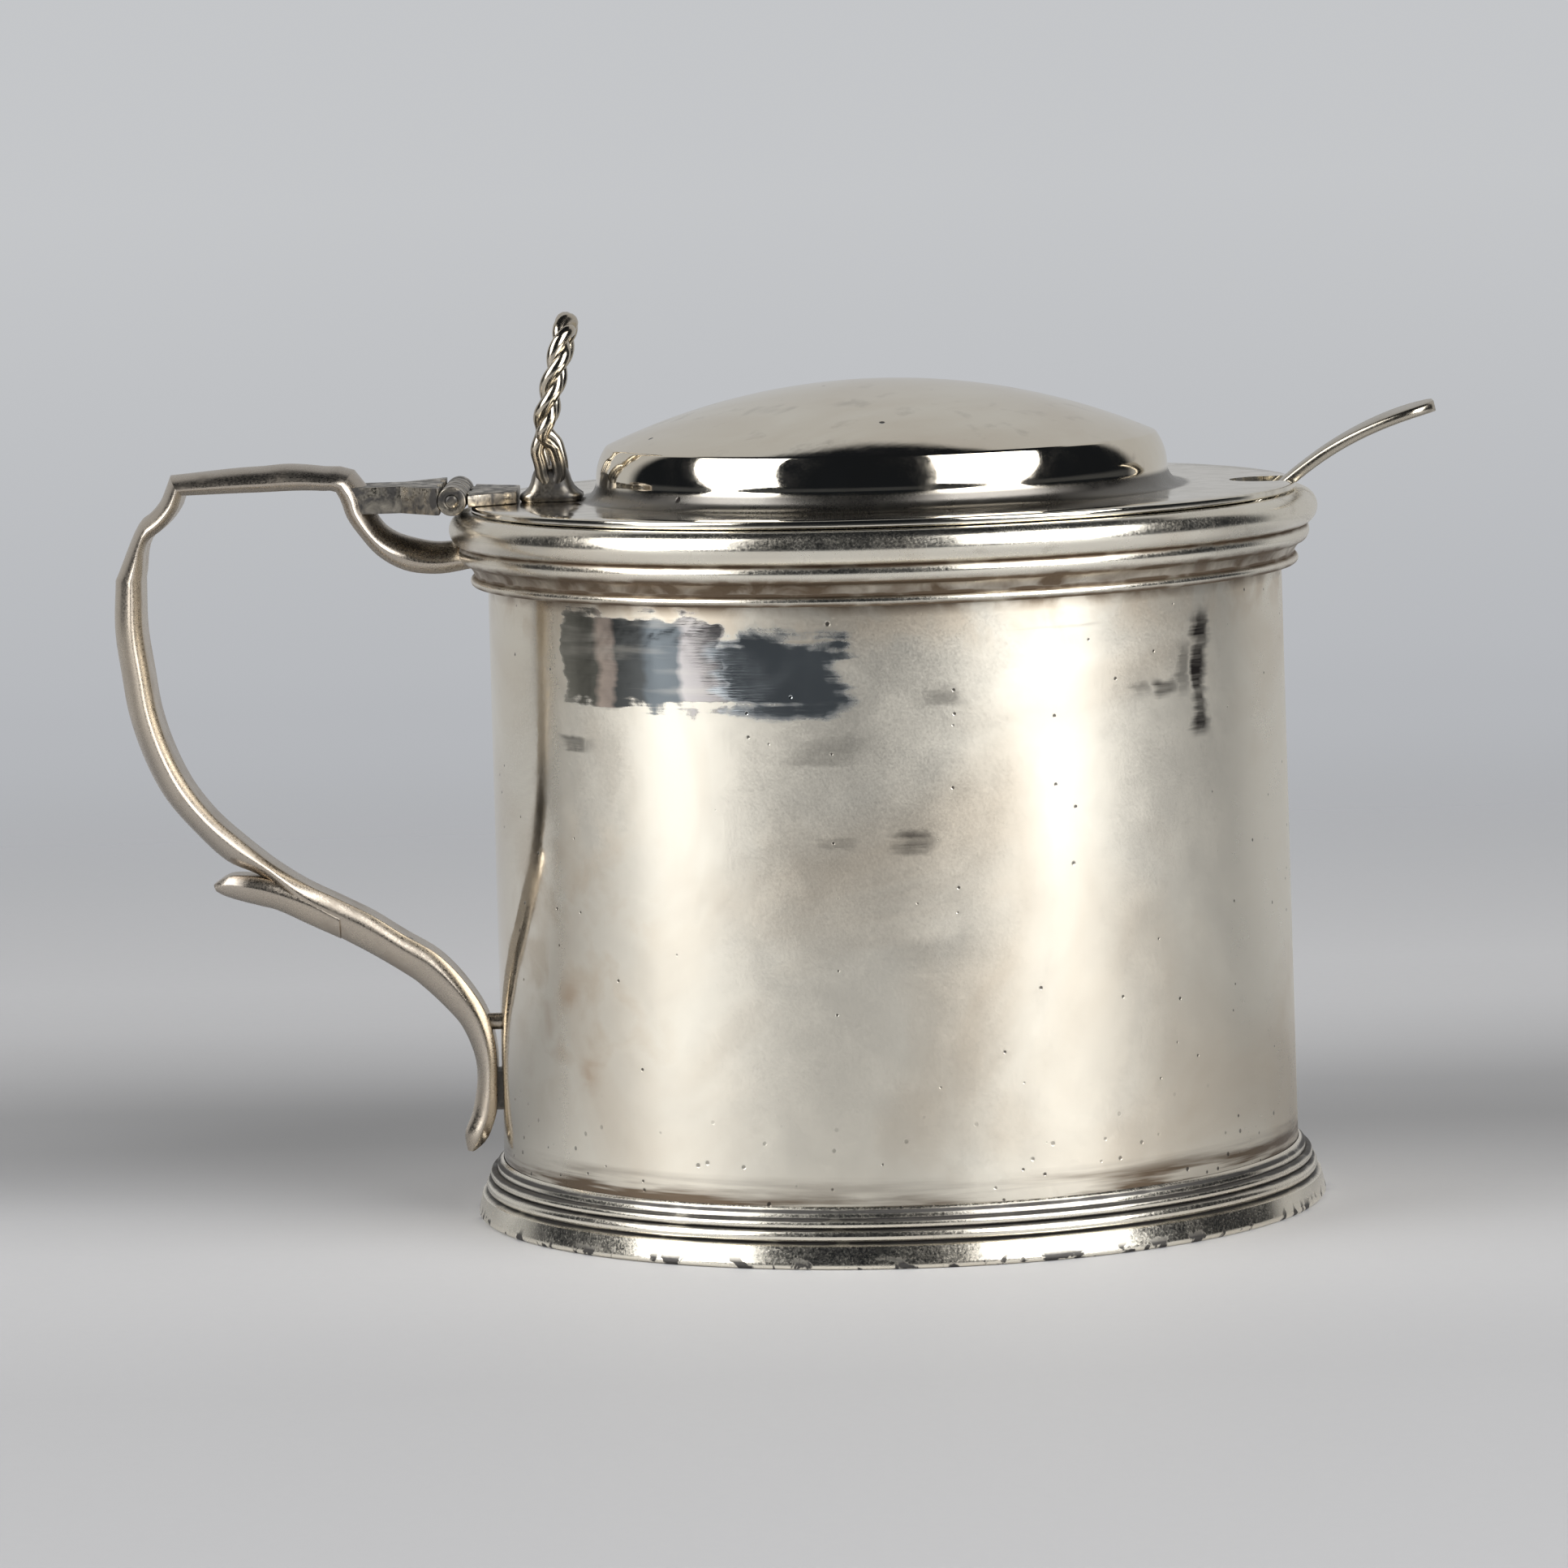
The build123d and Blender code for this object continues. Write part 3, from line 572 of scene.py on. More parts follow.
def lidShadeAndDirt(tree, coords, split):
    # painted shade in the crease between wall and flange, and mottled on the flange
    across = times(tree, split[0], split[0])
    along = times(tree, split[1], split[1])
    reach = mathNode(tree, "SQRT", mathNode(tree, "ADD", across, along))
    low = remap(tree, split[2], 60.7 * mm, 61.2 * mm, 1.0, 0.0, smooth=True)
    # painted shade in the crease at the foot of the wall
    creaseShade = times(tree, window(tree, reach, *shadeAndSoiling["lidCrease"], 0.5 * mm), low)
    mottled = remap(tree, noise(tree, coords, 500, 5.0, 0.4), 0.4, 0.62, 0.02, 0.24)
    flange = times(tree, remap(tree, split[2], 59.7 * mm, 60.2 * mm, 1.0, 0.0), mottled)
    return larger(tree, times(tree, creaseShade, 0.9), flange)


def darkerBelow(low, high, strength):
    # darker towards the bottom, fading out between the two heights, patchy, up to the given strength
    def dirtAndShade(tree, coords, split):
        mask = remap(tree, split[2], low * mm, high * mm, 1.0, 0.0, smooth=True)
        patchy = remap(tree, noise(tree, coords, 400, 4.0), 0.35, 0.6, 0.3, 1.0)
        return times(tree, times(tree, mask, patchy), strength)
    return dirtAndShade


finishes = {
    "drum": drumFinish(),
    "rim": silverFinish("rimSilver", roughness=0.22, grain=0.06, warmth=0.75, dirtAndShade=rimShadeAndDirt, speckShare=0.0),
    "foot": silverFinish(
        "footSilver", roughness=0.21, grain=0.07, warmth=0.40, dirtAndShade=footShadeAndDirt, speckShare=0.16, film="sootAndShade"
    ),
    "lid": silverFinish(
        "lidSilver", roughness=0.065, grain=0.02, warmth=0.7, dirtAndShade=lidShadeAndDirt, wave=0.02, film="sootAndShade"
    ),
    "handle": silverFinish(
        "handleSilver", roughness=0.29, grain=0.07, warmth=0.60, speckShare=0.05, clean="handle"
    ),
    "lug": silverFinish(
        "lugSilver", roughness=0.30, grain=0.08, warmth=0.6, dirtAndShade=lugDirt, speckShare=0.2, wave=0.05,
        clean="dull", film="sootAndShade",
    ),
    "hinge": silverFinish(
        "hingeSilver", roughness=0.22, grain=0.10, warmth=0.6, dirtAndShade=hingeDirt, speckShare=0.25, wave=0.06,
        clean="dull", film="sootAndShade",
    ),
    "thumb": silverFinish(
        "ropeSilver", roughness=0.17, grain=0.05, warmth=0.5, dirtAndShade=darkerBelow(*shadeAndSoiling["thumbFoot"]),
        speckShare=0.0, clean="dull", film="sootAndShade",
    ),
    "spoon": silverFinish(
        "spoonSilver", roughness=0.24, grain=0.05, warmth=0.55, speckShare=0.04, clean="dull"
    ),
}

print("drum")


def drumRadius(height):
    return pot["baseRadius"] + (pot["topRadius"] - pot["baseRadius"]) * height / pot["drumHeight"]


drumRows = round(pot["drumHeight"] / drum["rowGap"])
drumOutline = straight((pot["baseRadius"], 0), (pot["topRadius"], pot["drumHeight"]), drumRows)
drumOutline += [
    (pot["topRadius"] - drum["sheet"], pot["drumHeight"]),
    (pot["baseRadius"] - drum["sheet"], 0),
]
drumShell = spinOutline("drumShell", drumOutline)
finishPiece(drumShell, "pot", "silver_drum", finishes["drum"], "drum_wall")

print("rim and foot rings")
rim = {
    "reedCentre": (34.68, 57.5),
    "reedRadius": 1.45,
    "reedOuterTurn": -69.0,
    "reedInnerTurn": 160.0,
    "secondEdge": 35.4,
    "secondHeight": 1.35,
    "hollowHeight": 1.15,
    "hollowPlace": 0.65,
    "beadEdge": 34.45,
    "beadHeight": 0.8,
    "groove": 0.35,
}
reedRoot = around(rim["reedCentre"], rim["reedRadius"], rim["reedOuterTurn"])
secondLow = reedRoot[1] - rim["secondHeight"]
beadHigh = secondLow - rim["hollowHeight"]
beadLow = beadHigh - rim["beadHeight"]
rimInner = drumRadius(beadLow) + pot["solderFilm"]
beadRoot = rim["beadEdge"] - rim["groove"]
secondRoot = rim["secondEdge"] - rim["groove"]
reed = arcPoints(rim["reedCentre"], rim["reedRadius"], rim["reedOuterTurn"], rim["reedInnerTurn"], 30)
beadMiddle = (rim["beadEdge"], (beadLow + beadHigh) / 2)
hollowMiddle = (rim["beadEdge"], beadHigh + rim["hollowPlace"] * rim["hollowHeight"])
secondMiddle = (rim["secondEdge"], (secondLow + reedRoot[1]) / 2)
rimOutline = [(rimInner, beadLow)]
rimOutline += arcThrough((beadRoot, beadLow), beadMiddle, (beadRoot, beadHigh), 8)
rimOutline += arcThrough((beadRoot, beadHigh), hollowMiddle, (secondRoot, secondLow), 8)[1:]
rimOutline += arcThrough((secondRoot, secondLow), secondMiddle, reedRoot, 10)[1:]
rimOutline += reed[1:] + [(rimInner, reed[-1][1])]
rimRing = spinOutline("rimRing", rimOutline, 288, 50)
finishPiece(rimRing, "pot", "silver_moulding", finishes["rim"], "rim_moulding")

foot = {
    "bandReach": 2.2,
    "bandHeight": 2.05,
    "bandFlare": 0.35,
    "secondReach": 1.5,
    "secondTop": 3.05,
    "firstReach": 1.15,
    "firstTop": 3.8,
    "stepReach": 0.55,
    "stepTop": 4.3,
    "top": 4.75,
    "groove": 0.25,
    "edgeRound": 0.3,
}
base = pot["baseRadius"]
bandEdge = base + foot["bandReach"]
secondEdge = base + foot["secondReach"]
firstEdge = base + foot["firstReach"]
stepEdge = base + foot["stepReach"]
footInner = base + pot["solderFilm"]
edgeRound = foot["edgeRound"]
bandTop = (bandEdge - foot["bandFlare"], foot["bandHeight"] - foot["groove"])
footOutline = [(footInner, 0), (bandEdge - edgeRound, 0)]
footOutline += arcPoints((bandEdge - edgeRound, edgeRound), edgeRound, -75, 0, 5)
footOutline += straight((bandEdge, edgeRound), bandTop, 6)[1:]
footOutline += arcThrough(
    (secondEdge - foot["groove"], foot["bandHeight"]),
    (secondEdge, (foot["bandHeight"] + foot["secondTop"]) / 2),
    (firstEdge - foot["groove"], foot["secondTop"]), 9,
)
footOutline += arcThrough(
    (firstEdge - foot["groove"], foot["secondTop"]),
    (firstEdge, (foot["secondTop"] + foot["firstTop"]) / 2),
    (stepEdge, foot["firstTop"]), 8,
)[1:]
footOutline += [(stepEdge, foot["stepTop"]), (footInner, foot["top"])]
footRing = spinOutline("footRing", footOutline, 288, 50)
finishPiece(footRing, "pot", "silver_moulding", finishes["foot"], "foot_moulding")

print("lid")
lid = {
    "bottom": 59.0,
    "sheet": 0.65,
    "flange": 34.4,
    "flangeRound": 0.2,
    "domeRadius": 55.5,
    "wall": 23.76,
    "wallRound": 4.65,
    "wallTurn": 34,
    "shoulder": 0.5,
    "flareRound": 1.6,
    "slotWidth": 6.0,
    "slotDepth": 5.5,
    "hingeCut": -33.95,
    "hingeWidth": 14.7,
    "cutLow": 58.0,
    "cutHigh": 61.0,
    "cutBeyond": 9.0,
}
lidTop = lid["bottom"] + lid["sheet"]
flareCentre = (lid["wall"] + lid["flareRound"], lidTop + lid["flareRound"])
wallCentre = (lid["wall"] - lid["wallRound"], flareCentre[1])
shoulderCentre = around(wallCentre, lid["wallRound"] - lid["shoulder"], lid["wallTurn"])
domeReach = lid["domeRadius"] - lid["shoulder"]
domeCentre = (0, shoulderCentre[1] - sqrt(domeReach**2 - shoulderCentre[0] ** 2))
edgeTurn = degrees(asin(shoulderCentre[0] / domeReach))


def lidCurve(depth):
    line = arcPoints(domeCentre, lid["domeRadius"] - depth, 90, 90 - edgeTurn, 30)
    line += arcPoints(shoulderCentre, lid["shoulder"] - depth, 90 - edgeTurn, lid["wallTurn"], 8)[1:]
    line += arcPoints(wallCentre, lid["wallRound"] - depth, lid["wallTurn"], 0, 16)[1:]
    line += arcPoints(flareCentre, lid["flareRound"] + depth, 180, 270, 14)[1:]
    return line


flangeRound = lid["flangeRound"]
flangeInner = lid["flange"] - flangeRound
lidOutline = lidCurve(0)
lidOutline += straight((flareCentre[0], lidTop), (flangeInner, lidTop), 4)[1:]
lidOutline += arcPoints((flangeInner, lidTop - flangeRound), flangeRound, 60, 0, 3)
lidOutline += arcPoints((flangeInner, lid["bottom"] + flangeRound), flangeRound, 0, -90, 4)
lidOutline += list(reversed(lidCurve(lid["sheet"])))
lidOutline[0] = (0, lidOutline[0][1])
lidOutline[-1] = (0, lidOutline[-1][1])
lidDome = spinOutline("lidDome", lidOutline, 288, 40)
slotRound = lid["slotWidth"] / 2
slotEnd = lid["flange"] - lid["slotDepth"] + slotRound
cutLow, cutHigh, beyond = lid["cutLow"], lid["cutHigh"], lid["cutBeyond"]
bpy.ops.object.select_all(action="DESELECT")
bpy.ops.mesh.primitive_cylinder_add(
    vertices=48, radius=slotRound * mm, depth=(cutHigh - cutLow) * mm,
    location=(slotEnd * mm, 0, lid["bottom"] * mm),
)
bpy.ops.object.transform_apply(location=True, rotation=True, scale=True)
combine(lidDome, bpy.context.object, "DIFFERENCE")
slotBlock = block((slotEnd, -slotRound, cutLow), (slotEnd + beyond, slotRound, cutHigh))
combine(lidDome, slotBlock, "DIFFERENCE")
halfCut = lid["hingeWidth"] / 2
hingeBlock = block((lid["hingeCut"] - beyond, -halfCut, cutLow), (lid["hingeCut"], halfCut, cutHigh))
combine(lidDome, hingeBlock, "DIFFERENCE")
makeActive(lidDome)
bpy.ops.object.shade_smooth_by_angle(angle=radians(40))
finishPiece(lidDome, "lid", "silver_lid", finishes["lid"], "lid_cover")

print("handle")
# rows: a point of the inner side, a point of the outer side, and a share of the width
# a point is a reach beyond the drum in percents of the whole reach, and a height
handle = {
    "reach": 31.3,
    "halfWidth": 3.5,
    "step": 0.55,
    "spurStep": 0.45,
    "branch": [
        (3.2, -14.7, 3.2, -7.2, 1.0), (13.4, -16.0, 12.8, -8.0, 1.0), (22.0, -14.7, 18.8, -6.9, 1.0),
        (28.8, -10.7, 24.0, -5.1, 1.0), (33.2, -5.6, 27.5, -2.4, 1.0), (36.7, -0.2, 30.2, 2.4, 1.0),
        (38.3, 4.6, 31.6, 7.5, 1.0), (39.3, 6.5, 34.8, 11.7, 1.0), (42.8, 6.9, 42.5, 12.9, 1.0),
        (60.7, 7.0, 60.7, 13.4, 1.0), (80.2, 6.7, 83.7, 11.7, 1.0),
    ],
    "notchCentre": (98.7, 12.9),
    "notchRadii": (19.8, 14.4),
    "notchTurns": (-28.0, -36.0, -44.0, -52.0, -60.0),
    "sweep": [
        (91.9, 91.6, 99.4, 91.6, 1.0), (91.9, 84.1, 100.0, 84.1, 1.0), (90.6, 78.7, 98.7, 78.0, 1.0),
        (89.0, 72.9, 97.0, 72.1, 0.99), (85.9, 67.5, 93.3, 65.8, 0.95), (81.2, 62.3, 87.9, 60.1, 0.89),
        (75.1, 58.0, 80.5, 55.3, 0.83), (67.7, 54.3, 72.5, 51.2, 0.78), (59.4, 50.7, 62.0, 48.3, 0.74),
        (51.1, 47.8, 51.4, 42.4, 0.71), (42.5, 45.5, 42.8, 39.7, 0.69), (33.9, 43.1, 34.5, 37.2, 0.68),
        (25.6, 40.2, 25.9, 34.3, 0.68), (16.9, 37.3, 21.7, 32.6, 0.67), (8.6, 32.4, 14.4, 28.7, 0.66),
        (4.5, 28.7, 11.2, 26.5, 0.65), (2.1, 23.4, 8.1, 22.2, 0.64), (2.1, 18.7, 7.7, 18.7, 0.62),
        (2.9, 13.7, 9.3, 14.1, 0.57), (6.1, 10.0, 11.5, 10.7, 0.45), (8.9, 8.7, 10.9, 8.7, 0.25),
    ],
    "spur": [
        (76.2, 47.9, 75.6, 46.8, 0.25), (71.9, 49.2, 73.2, 46.1, 0.48), (67.7, 49.2, 68.7, 45.3, 0.62),
        (62.6, 48.8, 63.9, 44.6, 0.68), (56.9, 47.8, 59.4, 43.9, 0.7), (49.8, 46.5, 51.4, 41.8, 0.7),
        (42.5, 44.1, 42.8, 39.6, 0.68),
    ],
}


def strapRow(row, low, rise):
    reach = handle["reach"] / 100
    inner = (-(pot["topRadius"] + reach * row[0]), low + rise * row[1] / 100)
    outer = (-(pot["topRadius"] + reach * row[2]), low + rise * row[3] / 100)
    return (*inner, *outer, handle["halfWidth"] * row[4])


def strapStations(rows):
    stations = []
    for innerX, innerZ, outerX, outerZ, half in rows:
        thickness = hypot(outerX - innerX, outerZ - innerZ)
        stations.append((innerX, innerZ, atan2(outerZ - innerZ, outerX - innerX), thickness, half))
    return stations


# flat inner side, bevelled edges with worn arrises, domed outer side
strapOutline = [(-0.80, 0.02), (-0.76, 0.0), (-0.4, 0.0), (0.4, 0.0), (0.76, 0.0), (0.80, 0.02)]
strapOutline += [(0.955, 0.25), (0.985, 0.31), (0.995, 0.37), (0.975, 0.43)]
dome = arcThrough((1.0, 0.40), (0, 1.0), (-1.0, 0.40), 14)
strapOutline += dome[1:-1]
strapOutline += [(-0.975, 0.43), (-0.995, 0.37), (-0.985, 0.31), (-0.955, 0.25)]
notchRows = [
    (*around(handle["notchCentre"], -handle["notchRadii"][0], -turn),
     *around(handle["notchCentre"], -handle["notchRadii"][1], -turn), 1.0)
    for turn in handle["notchTurns"]
]
branchRows = [strapRow(row, pot["crest"], handle["reach"]) for row in handle["branch"]]
notchRows = [strapRow(row, pot["crest"], handle["reach"]) for row in notchRows]
sweepRows = [strapRow(row, 0, pot["crest"]) for row in handle["sweep"]]
spurRows = [strapRow(row, 0, pot["crest"]) for row in handle["spur"]]
strapRows = smoothRows(branchRows, handle["step"])
strapRows += smoothRows([branchRows[-1]] + notchRows + sweepRows[:1], handle["step"])[1:]
strapRows += smoothRows(sweepRows, handle["step"])[1:]
handleStrap = sweepOutline("handleStrap", strapOutline, strapStations(strapRows))
spurStations = strapStations(smoothRows(spurRows, handle["spurStep"]))
handleSpur = sweepOutline("handleSpur", strapOutline, spurStations)
combine(handleStrap, handleSpur, "UNION")
makeActive(handleStrap)
bpy.ops.object.shade_smooth_by_angle(angle=radians(30))
finishPiece(handleStrap, "pot", "silver_handle", finishes["handle"], "handle")

print("hinge")


def softenNode(nodeName, pieceName, body, slotName, finish, edge):
    # a merged copy of the solid with worn edges
    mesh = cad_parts[nodeName].data.copy()
    piece = bpy.data.objects.new(pieceName, mesh)
    bpy.context.scene.collection.objects.link(piece)
    makeActive(piece)
    bpy.ops.object.mode_set(mode="EDIT")
    bpy.ops.mesh.select_all(action="SELECT")
    bpy.ops.mesh.remove_doubles(threshold=1e-6)
    bpy.ops.mesh.dissolve_limited(angle_limit=radians(1))
    bpy.ops.object.mode_set(mode="OBJECT")
    applyModifier(piece, "BEVEL", width=edge * mm, segments=2, limit_method="ANGLE", angle_limit=radians(40))
    bpy.ops.object.shade_smooth_by_angle(angle=radians(35))
    finishPiece(piece, body, slotName, finish, nodeName)


for nodeName, pieceName, body, edge in (
    ("hinge_bracket", "hingeBracket", "pot", 0.14),
    ("pot_knuckle_near", "potKnuckleNear", "pot", 0.12),
    ("pot_knuckle_middle", "potKnuckleMiddle", "pot", 0.12),
    ("pot_knuckle_far", "potKnuckleFar", "pot", 0.12),
    ("lid_knuckle_near", "lidKnuckleNear", "lid", 0.12),
    ("lid_knuckle_far", "lidKnuckleFar", "lid", 0.12),
    ("lid_leaf", "lidLeaf", "lid", 0.12),
):
    softenNode(nodeName, pieceName, body, "silver_hinge", finishes["hinge"], edge)

print("thumbpiece")
thumb = {
    "footCentre": (-27.51, 0),
    "footPoints": 48,
    "footCorner": 0.45,
    # height, half width along X, half width along Y
    "footRows": [
        (59.68, 2.5, 3.1), (59.9, 2.65, 3.2), (60.15, 2.6, 3.2), (60.4, 2.25, 3.05), (60.75, 1.9, 2.9),
        (61.2, 1.68, 2.8), (61.7, 1.55, 2.7), (62.1, 1.4, 2.6), (62.35, 1.1, 2.35), (62.45, 0.6, 1.9),
    ],
    "strand": 0.58,
    "lay": 0.40,
    "pitch": 5.2,
    "step": 0.22,
    "part": 0.72,
    "partBelow": 66.0,
    "partOver": 2.2,
    "pinch": 0.35,
    "pinchFrom": 60.6,
    "pinchOver": 1.4,
    # one side of the loop, from the foot to the top
    "loop": [
        (-27.4, 2.05, 60.3), (-27.45, 2.5, 62.4), (-27.95, 3.35, 65.2), (-27.5, 4.1, 67.6),
        (-26.9, 4.3, 70.0), (-26.35, 4.05, 72.0), (-26.0, 3.0, 73.5), (-25.85, 1.5, 74.15),
    ],
}
corner = thumb["footCorner"]
thumbFoot = startMesh("thumbFoot")
footLoop = []
for step in range(thumb["footPoints"]):
    turn = 2 * pi * step / thumb["footPoints"]
    across, along = cos(turn), sin(turn)
    footLoop.append((copysign(abs(across) ** corner, across), copysign(abs(along) ** corner, along)))
drawOutline(footLoop + footLoop[:1], lambda point: (point[0] * mm, point[1] * mm, 0))
bpy.ops.mesh.edge_face_add()
height, across, along = thumb["footRows"][0]
bpy.ops.transform.resize(value=(across, along, 1), center_override=(0, 0, 0))
bpy.ops.transform.translate(value=(thumb["footCentre"][0] * mm, 0, height * mm))
for before, after in zip(thumb["footRows"], thumb["footRows"][1:]):
    rise = (0, 0, (after[0] - before[0]) * mm)
    bpy.ops.mesh.extrude_region_move(TRANSFORM_OT_translate={"value": rise})
    centre = (thumb["footCentre"][0] * mm, 0, after[0] * mm)
    growth = (after[1] / before[1], after[2] / before[2], 1)
    bpy.ops.transform.resize(value=growth, center_override=centre)
closeMesh(50)
finishPiece(thumbFoot, "lid", "silver_thumbpiece", finishes["thumb"], "thumb_foot")

loopRows = [(x, -y, z) for x, y, z in thumb["loop"]] + [(x, y, z) for x, y, z in reversed(thumb["loop"])]
curve = smoothRows([(y, z, x) for x, y, z in loopRows], thumb["step"])
loopPath = [Vector((x, y, z)) for y, z, x in curve]
loopMiddle = sum((b - a).length for a, b in zip(loopPath, loopPath[1:])) / 2


def strandPoints(phase):
    # twisted about the loop's path, and drawn apart below partBelow
    side = 1 if cos(phase) > 0 else -1
    points = []
    travel = 0.0
    for index, place in enumerate(loopPath):
        before = loopPath[max(index - 1, 0)]
        after = loopPath[min(index + 1, len(loopPath) - 1)]
        along = (after - before).normalized()
        aside = Vector((1, 0, 0)) - along * along.x
        aside.normalize()
        over = along.cross(aside)
        if index:
            travel += (place - before).length
        turn = 2 * pi * (travel - loopMiddle) / thumb["pitch"] + phase
        apart = max(0.0, min(1.0, (thumb["partBelow"] - place.z) / thumb["partOver"]))
        apart = apart * apart * (3 - 2 * apart)
        closing = max(0.0, min(1.0, (place.z - thumb["pinchFrom"]) / thumb["pinchOver"]))
        spread = thumb["part"] * (thumb["pinch"] + (1 - thumb["pinch"]) * closing)
        twisted = aside * cos(turn) + over * sin(turn)
        points.append(place + twisted * thumb["lay"] * (1 - apart) + aside * side * apart * spread)
    return points


for name, phase in (("ropeStrandOne", 0.0), ("ropeStrandTwo", pi)):
    bpy.ops.object.select_all(action="DESELECT")
    bpy.ops.curve.primitive_nurbs_path_add(location=(0, 0, 0))
    strand = bpy.context.object
    strand.name = name
    strand.data.splines.clear()
    points = strandPoints(phase)
    spline = strand.data.splines.new("POLY")
    spline.points.add(len(points) - 1)
    for place, point in zip(spline.points, points):
        place.co = (*(point * mm), 1)
    strand.data.bevel_depth = thumb["strand"] * mm
    strand.data.bevel_resolution = 5
    strand.data.use_fill_caps = True
    bpy.ops.object.convert(target="MESH")
    strand = bpy.context.object
    bpy.ops.object.shade_smooth_by_angle(angle=radians(50))
    if name == "ropeStrandOne":
        finishPiece(strand, "lid", "silver_thumbpiece", finishes["thumb"], "thumb_loop")
    else:
        finishPiece(strand, "lid", "silver_thumbpiece", finishes["thumb"])

print("spoon")
spoon = {
    "slope": 38.0343,
    "restGap": 0.15,
    "thickness": 0.95,
    "step": 0.8,
    "lengthInside": 79.454,
    "stem": [(-58.8, 2.4), (-50.0, 2.0), (-20.0, 2.5), (0.0, 3.0), (1.5, 3.1)],
    "straightOutside": 1.5,
    "bendRadius": 28.0,
    "bendSweep": 26.0,
    "end": [(0.25, 3.7), (0.45, 4.9), (0.62, 6.0), (0.78, 6.6), (0.9, 6.1), (0.97, 4.8), (1.0, 3.2)],
    "bowlLong": 11.6,
    "bowlShort": 7.6,
    "bowlCut": 2.9,
    "bowlSheet": 0.8,
    "bowlLip": 0.1,
}
stemLift = rim["reedRadius"] + spoon["restGap"] + spoon["thickness"] / 2
stemRest = around(rim["reedCentre"], stemLift, 90 + spoon["slope"])  # where the stem lies on the rim
rows = []
for place, width in spoon["stem"]:
    x, z = around(stemRest, place, spoon["slope"])
    rows.append((x, z, spoon["slope"], width / 2))
bendStart = around(stemRest, spoon["straightOutside"], spoon["slope"])
bendCentre = around(bendStart, spoon["bendRadius"], spoon["slope"] - 90)
for share, width in spoon["end"]:
    turn = spoon["slope"] - spoon["bendSweep"] * share
    x, z = around(bendCentre, spoon["bendRadius"], turn + 90)
    rows.append((x, z, turn, width / 2))
stations = []
for x, z, turn, half in smoothRows(rows, spoon["step"]):
    lower = around((x, z), -spoon["thickness"] / 2, turn + 90)
    stations.append((*lower, radians(turn + 90), spoon["thickness"], half))
# the stem's rounded outline, once round
stemOutline = [(-0.8, 0.03), (0, 0), (0.8, 0.03), (0.93, 0.12), (0.99, 0.3), (1.0, 0.5), (0.99, 0.7)]
stemOutline += [(0.93, 0.88), (0.8, 0.97), (0, 1.0), (-0.8, 0.97), (-0.93, 0.88), (-0.99, 0.7)]
stemOutline += [(-1.0, 0.5), (-0.99, 0.3), (-0.93, 0.12)]
mustardSpoon = sweepOutline("mustardSpoon", stemOutline, stations, 45)
halfLength = spoon["bowlLong"] * sqrt(1 - (spoon["bowlCut"] / spoon["bowlShort"]) ** 2)
bpy.ops.object.select_all(action="DESELECT")
bpy.ops.mesh.primitive_uv_sphere_add(segments=64, ring_count=32, radius=mm, location=(0, 0, 0))
bowl = bpy.context.object
bowl.scale = (spoon["bowlLong"], spoon["bowlShort"], spoon["bowlShort"])
bpy.ops.object.transform_apply(location=True, rotation=True, scale=True)
bpy.ops.object.mode_set(mode="EDIT")
bpy.ops.mesh.select_all(action="SELECT")
bpy.ops.mesh.bisect(
    plane_co=(0, 0, -spoon["bowlCut"] * mm), plane_no=(0, 0, 1), use_fill=False, clear_outer=True
)
bpy.ops.object.mode_set(mode="OBJECT")
applyModifier(bowl, "SOLIDIFY", thickness=spoon["bowlSheet"] * mm, offset=-1)
rimHeight = spoon["thickness"] / 2 + spoon["bowlLip"]
along = halfLength - spoon["lengthInside"]
slopeTurn = radians(spoon["slope"])
lift = rimHeight + spoon["bowlCut"]
bowl.rotation_euler = (0, -slopeTurn, 0)
bowl.location = (
    (stemRest[0] + along * cos(slopeTurn) - lift * sin(slopeTurn)) * mm,
    0,
    (stemRest[1] + along * sin(slopeTurn) + lift * cos(slopeTurn)) * mm,
)
bpy.ops.object.transform_apply(location=True, rotation=True, scale=True)
combine(mustardSpoon, bowl, "UNION")
makeActive(mustardSpoon)
bpy.ops.object.shade_smooth_by_angle(angle=radians(40))
finishPiece(mustardSpoon, "spoon", "silver_spoon", finishes["spoon"], "mustard_spoon")

print("liner")
liner = {
    "radius": 31.6,
    "wall": 1.8,
    "floor": 2.6,
    "low": 0.95,
    "top": 55.75,
    "heel": 2.0,
    "footWidth": 3.0,
    "footRound": 0.5,
    "wellRound": 2.5,
    "tints": ((0.030, 0.075, 0.42), (0.040, 0.095, 0.48)),
    "bubble": (0.25, 0.32, 0.7),
}
cobaltGlass, tree, shader = startMaterial("cobaltGlass", {"IOR": 1.5, "Transmission Weight": 1.0})
coords, split = objectCoords(tree)
cords = noise(tree, coords, 90, 3.0, 1.5)
bubbles = specks(tree, coords, 240, 0.07, 0.06)
tint = blendColour(tree, remap(tree, cords, 0.35, 0.65), *liner["tints"])
tree.links.new(blendColour(tree, bubbles, tint, liner["bubble"]), shader.inputs["Base Color"])
tree.links.new(remap(tree, cords, 0.3, 0.7, 0.01, 0.05), shader.inputs["Roughness"])
addBump(tree, shader, [(cords, 0.12), (bubbles, 0.05)])
innerRadius = liner["radius"] - liner["wall"]
lip = liner["wall"] / 2
heelRadius = liner["radius"] - liner["heel"]
heelTop = liner["low"] + liner["heel"]
footTop = liner["low"] + liner["footRound"]
linerOutline = [(0, footTop)]
linerOutline += arcPoints((heelRadius - liner["footWidth"], footTop), liner["footRound"], 180, 270, 5)
linerOutline += arcPoints((heelRadius, heelTop), liner["heel"], -90, 0, 10)
